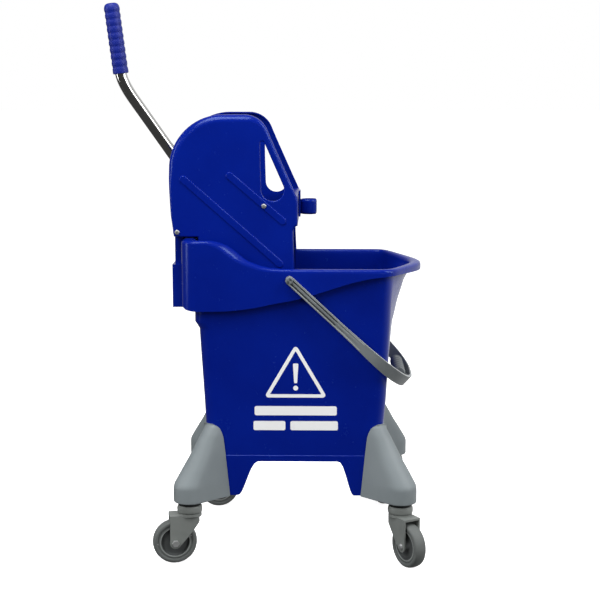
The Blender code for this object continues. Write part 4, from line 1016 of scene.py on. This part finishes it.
def press_lever():
    """Bent tube from the socket up into the grip."""
    end = tuple(foot + up * (GRIP_LEN - 6) for foot, up in zip(GRIP_FOOT, GRIP_UP))
    return rod("lever", [(x, 0.0, z) for x, z in lever_path(24) + [end]], TUBE_R, 14)


def lever_grip():
    """Ribbed sleeve with a rounded end."""
    r, top = TUBE_R + 0.3, GRIP_LEN
    profile = [(0, top - 4), (r, top - 4), (r, 0), (GRIP_R - 1.4, 0), (GRIP_R - 0.5, 0.5), (GRIP_R, 2)]
    groove = ((0.05, -3.4), (0.7, -2.2), (0.9, 0.0), (0.7, 2.2), (0.05, 3.4))
    for k in range(9):
        profile += [(GRIP_R - deep, 12.0 + 11.5 * k + h) for deep, h in groove]
    profile += [(GRIP_R - deep, top - h) for deep, h in ((0, 9), (0.8, 5.4), (2.4, 2.4), (4.6, 0.8), (7, 0))]
    profile.append((0, top))
    return turned("grip", profile, (GRIP_FOOT[0], 0, GRIP_FOOT[1]), tilt(GRIP_UP), 64)


# ---- label: triangle outline, mark and plain bars
def side_y(z):
    """The right wall's y at the height of the label."""
    return -(126.5 + (z - 183.0) * 0.02304)


def print_patch(loops):
    """A thin raised patch on the right wall between an outer loop and holes, as (x, z) loops."""
    lift, sunk = 0.12, 0.3
    verts = [(x, side_y(z) - lift, z) for loop in loops for x, z in loop]
    tris = filled(loops[0], loops[1:])
    total = len(verts)
    verts += [(x, y + lift + sunk, z) for x, y, z in verts]
    faces = [tuple(t) for t in tris] + [tuple(k + total for k in reversed(t)) for t in tris]
    start = 0
    for loop in loops:
        end = start + len(loop)
        faces += band(range(start, end), range(total + start, total + end))
        start = end
    return loft("print", verts, faces)


def soft_polygon(points, radius, steps=6):
    """Corner points joined by small arcs."""
    out = []
    n = len(points)
    for i in range(n):
        a, p, b = (Vector(points[(i + k) % n]) for k in (-1, 0, 1))
        d1, d2 = (a - p).normalized(), (b - p).normalized()
        half = acos(max(min(d1.dot(d2), 1), -1)) / 2
        reach = radius / tan(half)
        centre = p + (d1 + d2).normalized() * (radius / sin(half))
        s, e = p + d1 * reach - centre, p + d2 * reach - centre
        turn = s.angle_signed(e)
        for k in range(steps + 1):
            q = centre + Matrix.Rotation(-turn * k / steps, 2) @ s
            out.append((q.x, q.y))
    return out


# ---- pieces
TO_ROW = Matrix.Translation((OFFSET_X * MM, 0.0, -DROP * MM))
FINISH = {"blue_plastic": BLUE, "grey_plastic": GREY, "fork_grey": FORK, "tyre_rubber": RUBBER, "hub_plastic": HUB,
          "bail_grey": BAIL, "chrome": CHROME, "zinc": ZINC}
SLOT_OF = {part["node"]: part["material_slot"] for part in frame["record"]["subparts"]}


def dress(obj, name, material, place=TO_ROW, sharp=35.0):
    """Names a finished piece, bakes it into the row frame and gives it its material."""
    bpy.context.view_layer.update()
    obj.data.transform(place @ obj.matrix_world)
    obj.matrix_world = Matrix.Identity(4)
    obj.name = obj.data.name = name
    obj.data.materials.clear()
    obj.data.materials.append(material)
    for face in obj.data.polygons:
        face.material_index = 0
    obj.data.shade_smooth()
    obj.data.set_sharp_from_angle(angle=radians(sharp))
    even = obj.modifiers.new("even", "WEIGHTED_NORMAL")
    even.keep_sharp = True
    even.weight = 60
    return obj


def show(obj, node, place=TO_ROW, sharp=35.0, material=None):
    """The piece that stands for a CAD node: same body, and the finish of the node's material slot unless a material is
    given.
    """
    dress(obj, "vis_" + node, material or FINISH[SLOT_OF[node]], place, sharp)
    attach(obj, frame["nodes"][node]["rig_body"])
    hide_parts(node)
    return obj


def paint(obj, materials, pick):
    """Gives each face of a finished piece the material that `pick` chooses from its centre."""
    for material in materials:
        obj.data.materials.append(material)
    for face in obj.data.polygons:
        face.material_index = int(pick(face.center))


show(bucket_shell(), "bucket_shell", sharp=50.0)
for corner, sx, sy, heading in CORNERS:
    show(corner_housing(sx, sy), "housing_" + corner, sharp=50.0)
    # The collar's faces outside the band get painted shade for the gaps above and below it.
    paint(show(collar(sx, sy), "collar_" + corner), [GAP_SHADE],
          lambda point: not UNSHADED_COLLAR_BAND[0] < point.z / MM + DROP < UNSHADED_COLLAR_BAND[1])
    turn = Matrix.Translation(((OFFSET_X + sx * PIVOT_X) * MM, sy * PIVOT_Y * MM, 0)) @ Matrix.Rotation(
        radians(heading), 4, "Z")
    for group in caster():
        for kind, obj in group.items():
            show(obj, kind + "_" + corner, turn)
            if kind == "wheel_hub":
                # The ring on the hub's lip gets the painted highlight, and the hub beyond it the tyre's rubber.
                paint(obj, [LIP_HIGHLIGHT, RUBBER], lambda point, back=turn.inverted(): hub_ring(back @ point))
show(bail_stud(-1), "bail_stud_right")
show(bail_stud(1), "bail_stud_left")
# The strap's groove gets painted shade, and its edges and ridges get painted highlight.
paint(show(bail_frame(), "bail_frame", sharp=40.0), [GROOVE_SHADE, BAIL_HIGHLIGHT], bail_light_paint)
show(bail_grip(), "bail_grip", sharp=40.0)
for side, s in (("right", -1), ("left", 1)):
    show(cheek(s), "cheek_" + side, sharp=40.0)
    for place in ("rear", "front"):
        show(cheek_screw(place, s), f"screw_{place}_{side}")
    show(return_spring(s), "return_spring_" + side)
show(front_grille(), "front_grille")
show(strainer(), "strainer")
show(rear_hook(), "rear_hook")
show(handle_clip(), "handle_clip")
show(turned("tie", both_ends([(0, -95.9), (3.0, -95.9), (3.6, -95.3)]), (SCREWS[0][0], 0, SCREWS[0][1]), "Y", 32),
     "tie_rod_rear")
show(turned("axle", both_ends([(0, -96.4), (7.2, -96.4), (8.0, -95.6)]), AXLE, "Y", 48), "main_axle")
show(press_plate(), "press_plate")
show(lever_socket(), "lever_socket")
show(socket_bolt(34), "socket_bolt_1")
show(socket_bolt(52), "socket_bolt_2")
show(press_lever(), "press_lever")
show(lever_grip(), "lever_grip", material=BLUE_GRIP)

LABEL_X = 0.8
outer = soft_polygon([(LABEL_X - 53.5, 284), (LABEL_X, 376), (LABEL_X + 53.5, 284)], 4.5)
inner = soft_polygon([(LABEL_X - 43.4, 289.8), (LABEL_X, 364.4), (LABEL_X + 43.4, 289.8)], 0.8, 3)
mark = soft_polygon([(LABEL_X - 2.6, 309), (LABEL_X - 4.6, 343), (LABEL_X + 4.6, 343), (LABEL_X + 2.6, 309)], 1.8)
dot = arc(LABEL_X, 300.5, 4.2, 0, 345, 23)
bars = [soft_polygon([(LABEL_X + a, z0), (LABEL_X + a, z1), (LABEL_X + b, z1), (LABEL_X + b, z0)], 3.0)
        for a, b, z0, z1 in ((-69.5, 69.5, 253, 269), (-71.5, -17.5, 227, 243), (-9, 71.5, 227, 243))]
for name, loops in (("outline", [outer, inner]), ("mark", [mark]), ("dot", [dot]), ("bar_top", [bars[0]]),
                    ("bar_low_rear", [bars[1]]), ("bar_low_front", [bars[2]])):
    patch = dress(print_patch(loops), "vis_label_" + name, PRINT)
    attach(patch, "bucket")

# ---- floor, light and camera
floor_mat = bpy.data.materials.new("studio_floor")
floor_mat.use_nodes = True
floor_tree = floor_mat.node_tree
floor_shader = floor_tree.nodes["Principled BSDF"]
fill(floor_shader, {"Roughness": 0.9, "Specular IOR Level": 0.0, "Emission Color": (1.0, 1.0, 1.0, 1.0),
                    "Emission Strength": 0.86})
floor_drift = noise(floor_tree, node(floor_tree, "ShaderNodeTexCoord"), 1.5, 2.0, 0.5)
floor_tint = ramp(floor_tree, floor_drift, "Fac", ((0.3, (0.93,) * 3), (0.7, (0.95,) * 3)))
link(floor_tree, floor_tint, "Color", floor_shader, "Base Color")
floor_mesh = bpy.data.meshes.new("studio_floor")
floor_mesh.from_pydata([(-30, -30, 0), (30, -30, 0), (30, 30, 0), (-30, 30, 0)], [], [(0, 1, 2, 3)])
floor_mesh.materials.append(floor_mat)
floor = add("studio_floor", floor_mesh)
floor.visible_glossy = False
floor.visible_diffuse = False

world = bpy.data.worlds.new("studio")
bpy.context.scene.world = world
world.use_nodes = True
sky = world.node_tree
background = sky.nodes["Background"]
background.inputs["Strength"].default_value = 1.0
BRIGHT_SIDE = (0.70, 0.71, 0.0)
toward = node(sky, "ShaderNodeVectorMath", {1: BRIGHT_SIDE}, operation="DOT_PRODUCT")
link(sky, node(sky, "ShaderNodeTexCoord"), "Generated", toward, "Vector")
glow = ramp(sky, to_range(sky, toward, "Value", 0.0, 1.0, -1.0, 1.0), "Result",
            ((0.30, (0.06,) * 3), (0.52, (0.10,) * 3), (0.78, (0.55,) * 3), (0.92, (0.75,) * 3)))
MIX_A, MIX_B, MIX_OUT = 6, 7, 2
pick = node(sky, "ShaderNodeMix", {MIX_B: (1.0, 1.0, 1.0, 1.0)}, data_type="RGBA")
link(sky, node(sky, "ShaderNodeLightPath"), "Is Camera Ray", pick, "Factor")
link(sky, glow, "Color", pick, MIX_A)
link(sky, pick, MIX_OUT, background, "Color")


def softbox(name, at, aim_z, size, power, glossy=True):
    """An area light at a point in metres, aimed at a height on the middle line."""
    data = bpy.data.lights.new(name, "AREA")
    data.shape = "RECTANGLE"
    data.size, data.size_y = size
    data.energy = power
    obj = add(name, data)
    obj.location = at
    obj.rotation_euler = (Vector((0.0, 0.0, aim_z)) - Vector(at)).to_track_quat("-Z", "Y").to_euler()
    obj.visible_glossy = glossy


softbox("key", (-1.9, -2.6, 2.3), 0.4, (1.4, 1.4), 58.0, False)
softbox("fill", (1.2, -3.0, 1.2), 0.4, (1.4, 1.4), 22.0, False)
softbox("strip", (1.9, -1.1, 2.2), 0.5, (0.7, 1.6), 28.0)
softbox("rim", (2.5, -0.3, 1.45), 0.5, (0.4, 1.6), 12.0)
softbox("edge", (-2.4, -0.5, 1.0), 0.5, (0.5, 1.8), 14.0)
softbox("top", (-0.6, -0.9, 3.0), 0.5, (1.6, 1.6), 60.0)

camera_data = bpy.data.cameras.new("camera")
camera_data.sensor_width = 36.0
camera_data.lens = 83.4
camera = add("camera", camera_data)
camera.location = (0.1027, -2.4194, 0.8155)
camera.rotation_euler = (radians(80.845), 0.0, radians(0.977))
bpy.context.scene.camera = camera
bpy.context.scene.view_settings.view_transform = "Standard"
